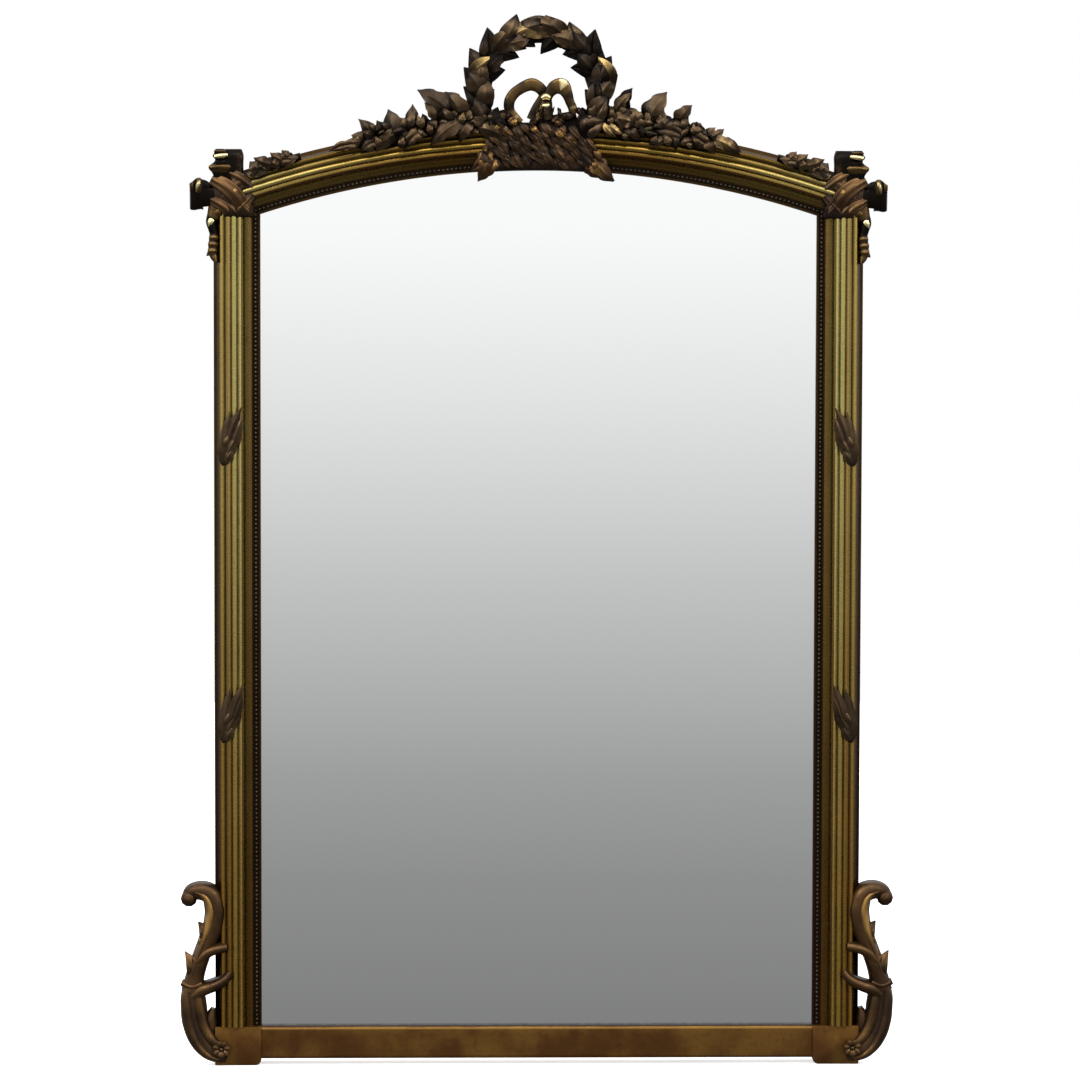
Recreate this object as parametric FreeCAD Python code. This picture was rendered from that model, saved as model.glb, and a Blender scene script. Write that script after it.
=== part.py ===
import FreeCAD, Part
import math
import os

# Overmantel (trumeau) mirror. Millimetres. +X to the right seen from the front, +Z up,
# the front faces -Y. The origin is at the middle of the width, where the plane of the wall
# meets the shelf that the two corner blocks stand on. "Depth" is counted forward from the wall.

# Sight opening: what shows of the glass.
sight_width = 922.0
sight_bottom = 64.5
sight_spring = 1417.0
arch_rise = 74.0

# Carcass of pine boards, halved together at the corners.
carcass_depth = 30.0
lap_depth = 15.0
glass_rebate = 12.0
board_seat_width = 28.0
rail_underside = 10.0

# Glass, its silvering and what holds it.
glass_thickness = 5.0
silvering_thickness = 0.5
glass_gap = 1.0
glazing_block_width = 16.0
glazing_block_length = 70.0
glazing_blocks_per_side = 5

# Backboards and their screws.
board_count = 5
board_thickness = 10.0
board_gap = 1.0
board_seat_height = 24.0
screw_head_radius = 4.0
screw_shank_radius = 2.0
screw_length = 20.0
screw_gap = 0.2
screw_edge_distance = 14.0
screw_end_distance = 40.0

# Reeded moulding; heights are above the face of the carcass, widths run out from the glass.
moulding_width = 77.0
lip_width = 1.5
lip_height = 7.0
channel_floor = 4.0
channel_width = 12.5
cove_start_height = 8.0
cove_sag = 2.5
reeds_start = 27.0
reed_width = 10.3
groove_heights = (21.0, 24.5, 25.5, 23.0, 17.0)
reed_swell = 3.6
outer_edge_height = 8.0
outer_cove_sag = 1.5
bead_radius = 3.0
bead_from_sight = 8.0

# Corner blocks and bottom rail.
block_height_above_carcass = 22.0
block_foot_radius = 10.0
rail_thickness = 16.0
rail_edge_radius = 3.0

# Clearance of carved pieces over what they are pinned on.
seat_gap = 0.3

# Laurel wreath, its backing and the bow.
wreath_radius = 101.0
wreath_rise = 52.0
wreath_band = 40.0
wreath_back = 42.0
wreath_depth = 38.0
wreath_open_angle = 37.5
backing_back = 18.0
backing_inset = 5.0
bow_back = 52.0
bow_depth = 20.0

# Carved foliage.
foliage_back = 30.0
foliage_edge = 62.0
foliage_ridge = 76.0
berry_radius = 7.5
berry_rise = 6.0
stem_height = 12.0
stem_bite = 3.0

# Corner knots, ribbons and leaf bindings.
ribbon_back = 34.0
ribbon_front = 70.0
knot_front = 76.0
binding_height_upper = 1046.0
binding_height_lower = 585.0
binding_edge = 61.0
binding_ridge = 68.0

# Scroll brackets at the foot of the stiles.
scroll_back = 24.0
scroll_front = 64.0
rosette_radius = 14.5
rosette_front = 70.0

# Hanging rings in pockets in the back of the stiles.
ring_height = 1290.0
ring_from_outer_edge = 20.0
ring_wire_radius = 2.0
ring_radius = 11.0
ring_leg = 8.0
ring_pin_gap = 0.05
knuckle_radius = 4.0
knuckle_width = 10.0
pivot_depth = 4.2
strap_width = 16.0
strap_length = 52.0
strap_thickness = 1.5
pocket_margin = 1.5
strap_screw_radius = 1.6
strap_screw_head = 3.4
strap_screw_length = 12.0
strap_screws_from_pivot = (20.0, 42.0)

# Sizes that follow from those above.
sight_half = sight_width / 2
outer_half = sight_half + moulding_width
sight_radius = (sight_half ** 2 + arch_rise ** 2) / (2 * arch_rise)
arch_centre = sight_spring + arch_rise - sight_radius
outer_radius = sight_radius + moulding_width
corner_height = arch_centre + math.sqrt(outer_radius ** 2 - outer_half ** 2)
arch_top = arch_centre + outer_radius
shoulder = outer_radius * math.asin(outer_half / outer_radius)
rebate_half = sight_half + glass_rebate
rebate_radius = sight_radius + glass_rebate
board_seat_half = rebate_half + board_seat_width
board_seat_radius = rebate_radius + board_seat_width
rail_top = sight_bottom - glass_rebate
board_seat_bottom = rail_top - board_seat_height
wreath_centre = arch_top + wreath_rise
block_front = carcass_depth + block_height_above_carcass
far = 4 * outer_half


def point(x, z, depth=0.0):
    return FreeCAD.Vector(x, -depth, z)


def polygon_face(corners, depth):
    ring = [point(x, z, depth) for x, z in corners]
    return Part.Face(Part.makePolygon(ring + ring[:1]))


def forward(face, thickness):
    return face.extrude(FreeCAD.Vector(0, -thickness, 0))


def slab(corners, back, front):
    return forward(polygon_face(corners, back), front - back)


def block(x0, x1, z0, z1, back, front):
    return slab([(x0, z0), (x1, z0), (x1, z1), (x0, z1)], back, front)


def disc(x, z, radius, back, front):
    return Part.makeCylinder(radius, front - back, point(x, z, back), FreeCAD.Vector(0, -1, 0))


def fuse(shapes):
    return shapes[0].multiFuse(shapes[1:]).removeSplitter()


def mirrored(shape):
    return shape.mirror(FreeCAD.Vector(0, 0, 0), FreeCAD.Vector(1, 0, 0))


def edge_through(a, b, c):
    """Arc through three points, or a line where they are in line."""
    if (b - a).cross(c - b).Length < 1e-6:
        return Part.makeLine(a, c)
    return Part.Arc(a, b, c).toShape()


def arched_slab(half, bottom, radius, back, front):
    """Upright board with a round top of the given radius about the centre of the arch."""
    side = arch_centre + math.sqrt(radius ** 2 - half ** 2)
    left = point(-half, side, back)
    right = point(half, side, back)
    crown = point(0, arch_centre + radius, back)
    foot_right = point(half, bottom, back)
    foot_left = point(-half, bottom, back)
    edges = [
        Part.Arc(left, crown, right).toShape(),
        Part.makeLine(right, foot_right),
        Part.makeLine(foot_right, foot_left),
        Part.makeLine(foot_left, left),
    ]
    return forward(Part.Face(Part.Wire(edges)), front - back)


def arch_band(half, inner, outer, back, front):
    """Curved board between two radii, with upright ends."""
    board = arched_slab(half, sight_spring - moulding_width, outer, back, front)
    return board.cut(disc(0, arch_centre, inner, back, front))


def arch_point(along, above):
    """Place on the front view: a length along the top of the arch and a height over it."""
    radius = outer_radius + above
    angle = along / outer_radius
    return (radius * math.sin(angle), arch_centre + radius * math.cos(angle))


def lay_on_arch(leaves):
    return [(arch_point(*base), arch_point(*tip), width) for base, tip, width in leaves]


# ---------------------------------------------------------------- mouldings

def moulding_edges(place):
    """The section of the reeded moulding, drawn through place(from_sight, depth)."""
    def at(u, height):
        return place(u, carcass_depth + height)

    channel_end = lip_width + channel_width
    cove_middle = (channel_end + reeds_start) / 2
    cove_height = (cove_start_height + groove_heights[0]) / 2 - cove_sag
    edges = [
        Part.makeLine(at(0, 0), at(0, lip_height)),
        Part.makeLine(at(0, lip_height), at(lip_width, lip_height)),
        Part.makeLine(at(lip_width, lip_height), at(lip_width, channel_floor)),
        Part.makeLine(at(lip_width, channel_floor), at(channel_end, channel_floor)),
        Part.makeLine(at(channel_end, channel_floor), at(channel_end, cove_start_height)),
        edge_through(at(channel_end, cove_start_height), at(cove_middle, cove_height),
                     at(reeds_start, groove_heights[0])),
    ]
    for number in range(len(groove_heights) - 1):
        u0 = reeds_start + number * reed_width
        h0, h1 = groove_heights[number], groove_heights[number + 1]
        lean = math.atan2(h1 - h0, reed_width)
        crest_u = u0 + reed_width / 2 - reed_swell * math.sin(lean)
        crest_h = (h0 + h1) / 2 + reed_swell * math.cos(lean)
        edges.append(edge_through(at(u0, h0), at(crest_u, crest_h), at(u0 + reed_width, h1)))
    reeds_end = reeds_start + (len(groove_heights) - 1) * reed_width
    middle_u = (reeds_end + moulding_width) / 2
    middle_h = (groove_heights[-1] + outer_edge_height) / 2 - outer_cove_sag
    edges.append(edge_through(at(reeds_end, groove_heights[-1]), at(middle_u, middle_h),
                              at(moulding_width, outer_edge_height)))
    edges.append(Part.makeLine(at(moulding_width, outer_edge_height), at(moulding_width, 0)))
    edges.append(Part.makeLine(at(moulding_width, 0), at(0, 0)))
    return edges


def bead_edges(place):
    """The bed of the beads: a bar with bevelled shoulders on the floor of the channel."""
    floor = carcass_depth + channel_floor
    shoulder = bead_radius * math.sqrt(0.5)
    corners = [(-bead_radius, 0), (-shoulder, shoulder), (0, bead_radius), (shoulder, shoulder),
               (bead_radius, 0)]
    ring = [place(bead_from_sight + u, floor + rise) for u, rise in corners]
    return list(Part.makePolygon(ring + ring[:1]).Edges)


def seat_edges(place):
    """The moulding and the carcass behind it, with the clearance for what is pinned on."""
    rise = 1.25 * reed_swell + seat_gap
    corners = [
        (-seat_gap, 0.0),
        (-seat_gap, carcass_depth + lip_height + seat_gap),
        (lip_width + channel_width, carcass_depth + cove_start_height + seat_gap),
    ]
    for number, height in enumerate(groove_heights):
        corners.append((reeds_start + number * reed_width, carcass_depth + height + rise))
    corners.append((moulding_width + seat_gap, carcass_depth + outer_edge_height + seat_gap))
    corners.append((moulding_width + seat_gap, 0.0))
    ring = [place(u, depth) for u, depth in corners]
    return list(Part.makePolygon(ring + ring[:1]).Edges)


def stile_length(edges_of, bottom, top):
    """A section standing on the right stile, from bottom to top."""
    def place(u, depth):
        return point(sight_half + u, bottom, depth)

    face = Part.Face(Part.Wire(edges_of(place)))
    return face.extrude(FreeCAD.Vector(0, 0, top - bottom))


def arch_length(edges_of):
    """A section turned about the centre of the arch, past both corners."""
    def place(u, depth):
        return point(0, arch_centre + sight_radius + u, depth)

    reach = math.degrees(math.asin(outer_half / sight_radius)) + 2
    centre = FreeCAD.Vector(0, 0, arch_centre)
    face = Part.Face(Part.Wire(edges_of(place)))
    face.rotate(centre, FreeCAD.Vector(0, 1, 0), -reach)
    return face.revolve(centre, FreeCAD.Vector(0, 1, 0), 2 * reach)


def mitre_zone():
    """All that lies above the two mitre lines, from wall to front."""
    slope = (corner_height - sight_spring) / moulding_width
    middle = sight_spring - slope * sight_half
    edge = middle + slope * far
    return slab([(0, middle), (far, edge), (far, edge + far), (-far, edge + far), (-far, edge)],
                -far, far)


above_mitre = mitre_zone()
stile_seat = stile_length(seat_edges, 0, corner_height).cut(above_mitre)
arch_seat = arch_length(seat_edges).common(above_mitre)
block_seat = block(sight_half - seat_gap, outer_half + seat_gap, -seat_gap,
                   sight_bottom + seat_gap, 0, block_front + seat_gap)


def stile_run(edges_of):
    return stile_length(edges_of, sight_bottom, corner_height + moulding_width).cut(above_mitre)


def arch_run(edges_of):
    return arch_length(edges_of).common(above_mitre)


# ---------------------------------------------------------------- carcass

def board_span(number):
    """Lower and upper height of one backboard, before the arched top is cut."""
    bottom = board_seat_bottom + board_gap
    top = arch_centre + board_seat_radius - board_gap
    pitch = (top - bottom + board_gap) / board_count
    low = bottom + number * pitch
    return low, low + pitch - board_gap


def board_screw_places():
    """Right-hand screw places: two at the end of each backboard."""
    x = board_seat_half - screw_edge_distance
    side_top = arch_centre + math.sqrt(board_seat_radius ** 2 - board_seat_half ** 2)
    places = []
    for number in range(board_count):
        low, high = board_span(number)
        high = min(high, side_top)
        places.append((x, low + screw_end_distance))
        places.append((x, high - screw_end_distance))
    return places


def screw(x, z, back, shank, head, length):
    """Countersunk wood screw, its head level with depth back."""
    outline = [(0, 0), (head, 0), (head, 0.5), (shank, 0.5 + head - shank), (shank, length - 2), (0, length)]
    ring = [point(x + r, z, back + d) for r, d in outline]
    face = Part.Face(Part.makePolygon(ring + ring[:1]))
    return face.revolve(point(x, z, back), FreeCAD.Vector(0, 1, 0), 360)


def board_screw(x, z, gap=0.0):
    return screw(x, z, -gap, screw_shank_radius + gap, screw_head_radius + gap, screw_length + 2 * gap)


def ring_x():
    return outer_half - ring_from_outer_edge


def strap_floor():
    return pivot_depth + knuckle_radius


def strap_screw(z, gap=0.0):
    back = strap_floor() - strap_thickness - gap
    return screw(ring_x(), z, back, strap_screw_radius + gap, strap_screw_head - 2 * screw_gap + gap,
                 strap_screw_length + gap)


def strap_screw_heights():
    return [ring_height + rise for rise in strap_screws_from_pivot]


def ring_pocket():
    half = ring_radius + ring_wire_radius + pocket_margin
    low = ring_height - ring_leg - ring_radius - ring_wire_radius - 2 * pocket_margin
    high = ring_height + strap_length + pocket_margin
    return block(ring_x() - half, ring_x() + half, low, high, 0, strap_floor())


def carcass_stile():
    column = block(rebate_half, outer_half, 0, arch_top, 0, carcass_depth)
    column = column.common(disc(0, arch_centre, outer_radius, 0, carcass_depth))
    head_lap = arch_band(outer_half, rebate_radius, outer_radius, lap_depth, carcass_depth)
    rail_lap = block(rebate_half, outer_half, rail_underside, rail_top, lap_depth, carcass_depth)
    board_seat = block(rebate_half, board_seat_half, board_seat_bottom, arch_top, 0, board_thickness)
    shape = column.cut(head_lap).cut(rail_lap).cut(board_seat).cut(ring_pocket())
    for x, z in board_screw_places():
        shape = shape.cut(board_screw(x, z, screw_gap))
    for z in strap_screw_heights():
        shape = shape.cut(strap_screw(z, screw_gap))
    return shape


def carcass_head():
    head = arch_band(outer_half, rebate_radius, outer_radius, 0, carcass_depth)
    for side in (-1, 1):
        x0, x1 = sorted((side * rebate_half, side * far))
        head = head.cut(block(x0, x1, 0, 2 * arch_top, 0, lap_depth))
    for z in strap_screw_heights():
        hole = strap_screw(z, screw_gap)
        head = head.cut(hole).cut(mirrored(hole))
    return head.cut(arch_band(board_seat_half, rebate_radius, board_seat_radius, 0, board_thickness))


def carcass_rail():
    rail = block(-outer_half, outer_half, rail_underside, rail_top, 0, carcass_depth)
    for side in (-1, 1):
        x0, x1 = sorted((side * rebate_half, side * far))
        rail = rail.cut(block(x0, x1, 0, sight_bottom, 0, lap_depth))
    return rail.cut(block(-board_seat_half, board_seat_half, board_seat_bottom, rail_top,
                          0, board_thickness))


# ---------------------------------------------------------------- glass and back

def glass_plate(back, front):
    return arched_slab(rebate_half - glass_gap, rail_top + glass_gap, rebate_radius - glass_gap,
                       back, front)


def silvering_back():
    return carcass_depth - glass_thickness - silvering_thickness


def side_glazing_blocks():
    """Pine blocks along one side, between the silvering and the backboards."""
    run = sight_spring - sight_bottom
    pitch = run / glazing_blocks_per_side
    blocks = []
    for number in range(glazing_blocks_per_side):
        middle = sight_bottom + (number + 0.5) * pitch
        blocks.append(block(rebate_half - glazing_block_width, rebate_half,
                            middle - glazing_block_length / 2, middle + glazing_block_length / 2,
                            board_thickness, silvering_back()))
    return Part.makeCompound(blocks)


def end_glazing_blocks(head):
    """Pine blocks on the bottom rail, or under the curved head."""
    blocks = []
    for side in (-1, 0, 1):
        x = side * sight_half * 2 / 3
        low = rail_top
        if head:
            edge = abs(x) + glazing_block_length / 2
            low = arch_centre + math.sqrt(rebate_radius ** 2 - edge ** 2) - glazing_block_width
        high = arch_top if head else low + glazing_block_width
        piece = block(x - glazing_block_length / 2, x + glazing_block_length / 2, low, high,
                      board_thickness, silvering_back())
        blocks.append(piece.common(disc(0, arch_centre, rebate_radius, 0, carcass_depth)))
    return Part.makeCompound(blocks)


def backboard(number):
    low, high = board_span(number)
    whole = arched_slab(board_seat_half - board_gap, low, board_seat_radius - board_gap,
                        0, board_thickness)
    board = whole.common(block(-far, far, low, high, 0, board_thickness))
    for x, z in board_screw_places()[2 * number:2 * number + 2]:
        for side in (-1, 1):
            board = board.cut(board_screw(side * x, z, screw_gap))
    return board


def backboard_screws():
    return Part.makeCompound([board_screw(side * x, z) for x, z in board_screw_places() for side in (-1, 1)])


# ---------------------------------------------------------------- foot of the frame

def base_rail():
    rail = block(-sight_half, sight_half, rail_underside, sight_bottom,
                 carcass_depth, carcass_depth + rail_thickness)
    front = [edge for edge in rail.Edges
             if all(abs(v.Z - sight_bottom) + abs(v.Y + carcass_depth + rail_thickness) < 1e-6
                    for v in edge.Vertexes)]
    return rail.makeFillet(rail_edge_radius, front)


def base_block():
    """Right corner block, its foot rounded up to the underside of the rail."""
    x, drop, r = sight_half, rail_underside, block_foot_radius
    mid = r * (1 - math.sqrt(0.5))
    back = carcass_depth
    start, middle, end = point(x, r, back), point(x + mid, mid, back), point(x + r, 0, back)
    outer_low, outer_high = point(outer_half, 0, back), point(outer_half, sight_bottom, back)
    inner_high = point(x, sight_bottom, back)
    edges = [
        Part.Arc(start, middle, end).toShape(),
        Part.makeLine(end, outer_low),
        Part.makeLine(outer_low, outer_high),
        Part.makeLine(outer_high, inner_high),
        Part.makeLine(inner_high, start),
    ]
    return forward(Part.Face(Part.Wire(edges)), block_front - back)


# ---------------------------------------------------------------- carving

def leaf(base, tip, width, back, edge, ridge):
    """A carved leaf: a four-sided outline with a folded roof along its middle rib."""
    along = FreeCAD.Vector(tip[0] - base[0], tip[1] - base[1], 0)
    side = FreeCAD.Vector(-along.y, along.x, 0)
    side.normalize()
    stations = [(0.0, 0.16), (0.35, 0.5), (0.7, 0.36)]
    left, right, rib = [], [], []
    for part, half in stations:
        x = base[0] + along.x * part
        z = base[1] + along.y * part
        left.append((x + side.x * width * half, z + side.y * width * half))
        right.append((x - side.x * width * half, z - side.y * width * half))
        rib.append((x, z))
    ring = [*left, tip, *reversed(right)]
    count = len(ring)
    faces = [polygon_face(ring, back)]
    for i in range(count):
        a, b = ring[i], ring[(i + 1) % count]
        corners = [point(*a, back), point(*b, back), point(*b, edge), point(*a, edge)]
        faces.append(Part.Face(Part.makePolygon(corners + corners[:1])))
    rib_depth = [edge + (ridge - edge) * part for part in (0.5, 1.0, 0.7)]
    top = [point(x, z, depth) for (x, z), depth in zip(rib, rib_depth)]
    tip_point = point(*tip, edge)
    left_points = [point(x, z, edge) for x, z in left]
    right_points = [point(x, z, edge) for x, z in right]
    triangles = [(left_points[0], right_points[0], top[0])]
    for row in (left_points, right_points):
        for i in range(2):
            triangles.append((row[i], row[i + 1], top[i]))
            triangles.append((row[i + 1], top[i + 1], top[i]))
        triangles.append((row[2], tip_point, top[2]))
    for corners in triangles:
        faces.append(Part.Face(Part.makePolygon([*corners, corners[0]])))
    solid = Part.Solid(Part.makeShell(faces))
    solid.fix(1e-6, 1e-6, 1e-6)
    if solid.Volume < 0:
        solid.reverse()
    return solid


def leaves(layout, back=foliage_back, edge=foliage_edge, ridge=foliage_ridge):
    """Leaves of one piece; their backs step a little so that no two faces lie level."""
    made = []
    for number, (base, tip, width) in enumerate(layout):
        step = 0.7 * (number % 5)
        made.append(leaf(base, tip, width, back + step, edge - step, ridge - step))
    return made


def strip(line, widths, back, front):
    """A flat scroll or ribbon along points taken three by three as arcs."""
    left, right = [], []
    for i, (x, z) in enumerate(line):
        x0, z0 = line[max(i - 1, 0)]
        x1, z1 = line[min(i + 1, len(line) - 1)]
        length = math.hypot(x1 - x0, z1 - z0)
        nx, nz = (z0 - z1) / length, (x1 - x0) / length
        half = widths[i] / 2
        left.append(point(x + nx * half, z + nz * half, back))
        right.append(point(x - nx * half, z - nz * half, back))
    right.reverse()
    edges = [edge_through(*left[i:i + 3]) for i in range(0, len(left) - 2, 2)]
    edges.append(Part.makeLine(left[-1], right[0]))
    edges += [edge_through(*right[i:i + 3]) for i in range(0, len(right) - 2, 2)]
    edges.append(Part.makeLine(right[-1], left[0]))
    return forward(Part.Face(Part.Wire(edges)), front - back)


def berry(place, radius, depth):
    return Part.makeSphere(radius, point(*place, depth))


# Left and right sprays, as (base, tip, width); each place is (along the arch, above it).
left_spray_leaves = [
    ((-299, -8), (-352, -9), 15), ((-293, -15), (-317, 4), 12), ((-274, -18), (-294, 34), 21),
    ((-250, -19), (-244, 41), 33), ((-232, -12), (-204, 44), 26), ((-136, 14), (-194, 66), 30),
    ((-130, 1), (-151, 58), 33), ((-192, 3), (-230, -29), 20), ((-116, 12), (-184, -28), 26),
    ((-233, 2), (-275, -25), 20), ((-260, -7), (-302, -21), 16), ((-114, 10), (-134, -28), 22),
]
left_spray_berries = [(-267, -9), (-191, 8), (-236, -16)]
right_spray_leaves = [
    ((130, 12), (147, 65), 23), ((177, 2), (202, 65), 33), ((223, 8), (245, 50), 23),
    ((247, -1), (264, 23), 16), ((275, -8), (288, 20), 16), ((284, -3), (339, -12), 16),
    ((210, 2), (230, -29), 15), ((211, -6), (183, -25), 13), ((104, 1), (136, -20), 15),
    ((134, -3), (156, -21), 13), ((188, 2), (248, -9), 23), ((247, -1), (287, -19), 20),
    ((113, 12), (163, 5), 26), ((148, -13), (196, 8), 26),
]
right_spray_berries = [(132, 18), (99, 6), (254, 9), (256, -16)]
# Where the stems of the sprays start and end, along the arch.
left_spray_stem = (-300, -100)
right_spray_stem = (290, 100)
# Sprigs at the ends of the arch, right hand; each place is (back from the shoulder, above the arch).
sprig_leaves = [
    ((83.4, -10), (67.4, 10), 20), ((109.4, -8), (75.4, 14), 20), ((131.4, -10), (103.4, 14), 18),
    ((109.4, -10), (147.4, -6), 18),
]
# Central cluster over the middle of the arch.
cluster_leaves = [
    ((0, 4), (-86, -58), 34), ((0, 4), (86, -58), 34), ((-8, 0), (-58, -74), 34),
    ((8, 0), (58, -74), 34), ((-4, -4), (-24, -78), 32), ((4, -4), (24, -78), 32),
    ((-30, -6), (-84, -30), 24), ((30, -6), (84, -30), 24), ((-14, -20), (-20, 10), 26),
    ((14, -20), (20, 10), 26), ((0, -26), (0, 10), 24),
]
# Drop leaves at the sight edge, either side of the cluster.
left_drop_leaves = [
    ((-84, -44), (-120, -76), 22), ((-88, -58), (-108, -92), 24), ((-84, -62), (-92, -84), 18),
]
right_drop_leaves = [
    ((86, -44), (116, -76), 22), ((92, -56), (132, -90), 24), ((86, -66), (104, -84), 18),
]
# Leaf binding round a stile, as (base, tip, width); each place is (from sight, above middle).
binding_leaves = [
    ((70, -50), (34, 14), 26), ((56, -26), (28, 46), 22), ((66, -40), (72, 0), 16),
    ((56, -22), (58, 26), 18), ((60, -36), (30, -12), 16),
]
# Wreath leaves by angle from the top and reach from the centre: outer tips, then inner tips.
wreath_outer_tips = [
    (-103, 119), (-87, 126), (-73, 131), (-59, 135), (-40, 135), (-17, 132), (4, 125),
    (23, 121), (42, 136), (54, 124), (64, 131), (78, 131), (94, 116), (114, 122), (-120, 120),
]
wreath_inner_tips = [
    (-110, 76), (-92, 74), (-75, 78), (-56, 80), (-37, 76), (-14, 70), (8, 76), (32, 62),
    (58, 74), (78, 78), (98, 76), (116, 76),
]


def polar(radius, degrees):
    """Place on the wreath: degrees clockwise from its top."""
    angle = math.radians(degrees)
    return (radius * math.sin(angle), wreath_centre + radius * math.cos(angle))


def ring_zone(inner, outer, open_angle, back, front):
    """Ring about the centre of the wreath, open at the bottom by the angle either side."""
    ring = disc(0, wreath_centre, outer, back, front).cut(disc(0, wreath_centre, inner, back, front))
    angle = math.radians(open_angle)
    reach = 3 * outer
    foot = wreath_centre - reach * math.cos(angle)
    wedge = slab([(0, wreath_centre), (-reach * math.sin(angle), foot), (reach * math.sin(angle), foot)],
                 back, front)
    return ring.cut(wedge)


def laurel_wreath():
    front = wreath_back + wreath_depth
    parts = [ring_zone(wreath_radius - wreath_band / 2, wreath_radius + wreath_band / 2,
                       wreath_open_angle, wreath_back, front - 6)]
    for number, (angle, reach) in enumerate(wreath_outer_tips + wreath_inner_tips):
        sweep = 24 if angle > 0 else -24
        outward = number < len(wreath_outer_tips)
        start = wreath_radius - 4 if outward else wreath_radius + 6
        step = 0.7 * (number % 6)
        parts.append(leaf(polar(start, angle + sweep), polar(reach, angle), wreath_band * 0.72,
                          wreath_back + 1 + step, front - 4 - step, front + 6 - step))
    whole = fuse(parts)
    room = ring_zone(1, far, wreath_open_angle, 0, far)
    return whole.common(room).cut(arch_seat)


def wreath_backing():
    """Pine backing behind the wreath, standing on the top of the arch."""
    inner = wreath_radius - wreath_band / 2 + backing_inset
    outer = wreath_radius + wreath_band / 2 - backing_inset
    ring = ring_zone(inner, outer, wreath_open_angle, backing_back, wreath_back)
    return ring.cut(disc(0, arch_centre, outer_radius, 0, far))


def centre_cluster():
    layout = lay_on_arch(cluster_leaves)
    parts = leaves(layout, carcass_depth + 1, foliage_edge + 4, foliage_ridge + 6)
    half = 40
    parts.append(slab([arch_point(-half, -62), arch_point(half, -62), arch_point(half - 6, 4),
                       arch_point(-half + 6, 4)], carcass_depth + 2, foliage_edge + 2))
    ring = ring_zone(wreath_radius - wreath_band, wreath_radius + wreath_band, wreath_open_angle - 1, 0, far)
    return fuse(parts).cut(arch_seat).cut(ring)


def bow():
    """Ribbon bow standing on the cluster inside the wreath."""
    foot = arch_top + 4 + seat_gap
    centre = wreath_centre - 14
    left = strip([(0, centre), (-6, centre + 33), (-24, centre + 30), (-50, centre + 18), (-52, centre - 12)],
                 [14, 15, 16, 15, 14], bow_back, bow_back + bow_depth - 4)
    left_end = strip([(-52, centre - 12), (-46, (centre + foot) / 2), (-36, foot)], [14, 13, 12],
                     bow_back, bow_back + bow_depth - 4)
    right = strip([(0, centre), (12, centre + 32), (30, centre + 34), (48, centre + 20), (52, centre - 12)],
                  [14, 15, 16, 15, 14], bow_back + 1, bow_back + bow_depth - 3)
    right_end = strip([(52, centre - 12), (44, (centre + foot) / 2), (32, foot)], [14, 13, 12],
                      bow_back + 1, bow_back + bow_depth - 3)
    stem = slab([(-8, foot), (8, foot), (9, centre), (-9, centre)], bow_back + 2, bow_back + bow_depth - 5)
    knot = disc(0, centre, 12, bow_back - 1, bow_back + bow_depth)
    return fuse([left, left_end, right, right_end, stem, knot]).cut(cluster_shape)


def spray(layout, berries, stem):
    """Foliage along the top of the arch on a carved stem that lies on it."""
    start, end = stem
    parts = leaves(lay_on_arch(layout))
    parts += [berry(arch_point(*place), berry_radius, foliage_edge + berry_rise) for place in berries]
    back, front = foliage_back + 1, foliage_edge - 3
    line = [arch_point(start + (end - start) * i / 4, stem_height / 2 - stem_bite) for i in range(5)]
    parts.append(strip(line, [stem_height] * 5, back, front))
    wreath_core = disc(0, wreath_centre, wreath_radius + wreath_band / 2 + seat_gap, 0, far)
    return fuse(parts).cut(arch_seat).cut(wreath_core).cut(wreath_shape)


def sprig():
    layout = [((shoulder - base, up), (shoulder - tip, tip_up), width)
              for (base, up), (tip, tip_up), width in sprig_leaves]
    parts = leaves(lay_on_arch(layout), foliage_back, foliage_edge - 4, foliage_ridge - 8)
    return fuse(parts).cut(arch_seat).cut(knot_zone())


def drop(layout):
    parts = leaves(lay_on_arch(layout), carcass_depth + 3, foliage_edge - 6, foliage_ridge - 8)
    return fuse(parts).cut(arch_seat).cut(cluster_shape)


def binding(middle):
    layout = [((sight_half + u0, middle + z0), (sight_half + u1, middle + z1), width)
              for (u0, z0), (u1, z1), width in binding_leaves]
    return fuse(leaves(layout, carcass_depth + 2, binding_edge, binding_ridge)).cut(stile_seat)


# ---------------------------------------------------------------- corner knots

def corner(out, up):
    """Place by its distance outward and upward from the outer corner of the frame."""
    return (outer_half + out, corner_height + up)


def knot_zone():
    return slab([corner(14, -30), corner(-24, -62), corner(-66, -28), corner(-30, 14)], 0, far)


def corner_knot():
    """Two crossed bands tied over the mitred corner."""
    zone = knot_zone()
    bands = [
        strip([corner(8, 2), corner(-24, -22), corner(-58, -52)], [22, 26, 20], ribbon_back, knot_front - 3),
        strip([corner(6, -46), corner(-24, -22), corner(-56, 4)], [20, 26, 22], ribbon_back + 1,
              knot_front - 5),
        disc(*corner(-24, -22), 14, ribbon_back + 2, knot_front),
    ]
    return fuse(bands).common(zone).cut(stile_seat).cut(arch_seat)


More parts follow.
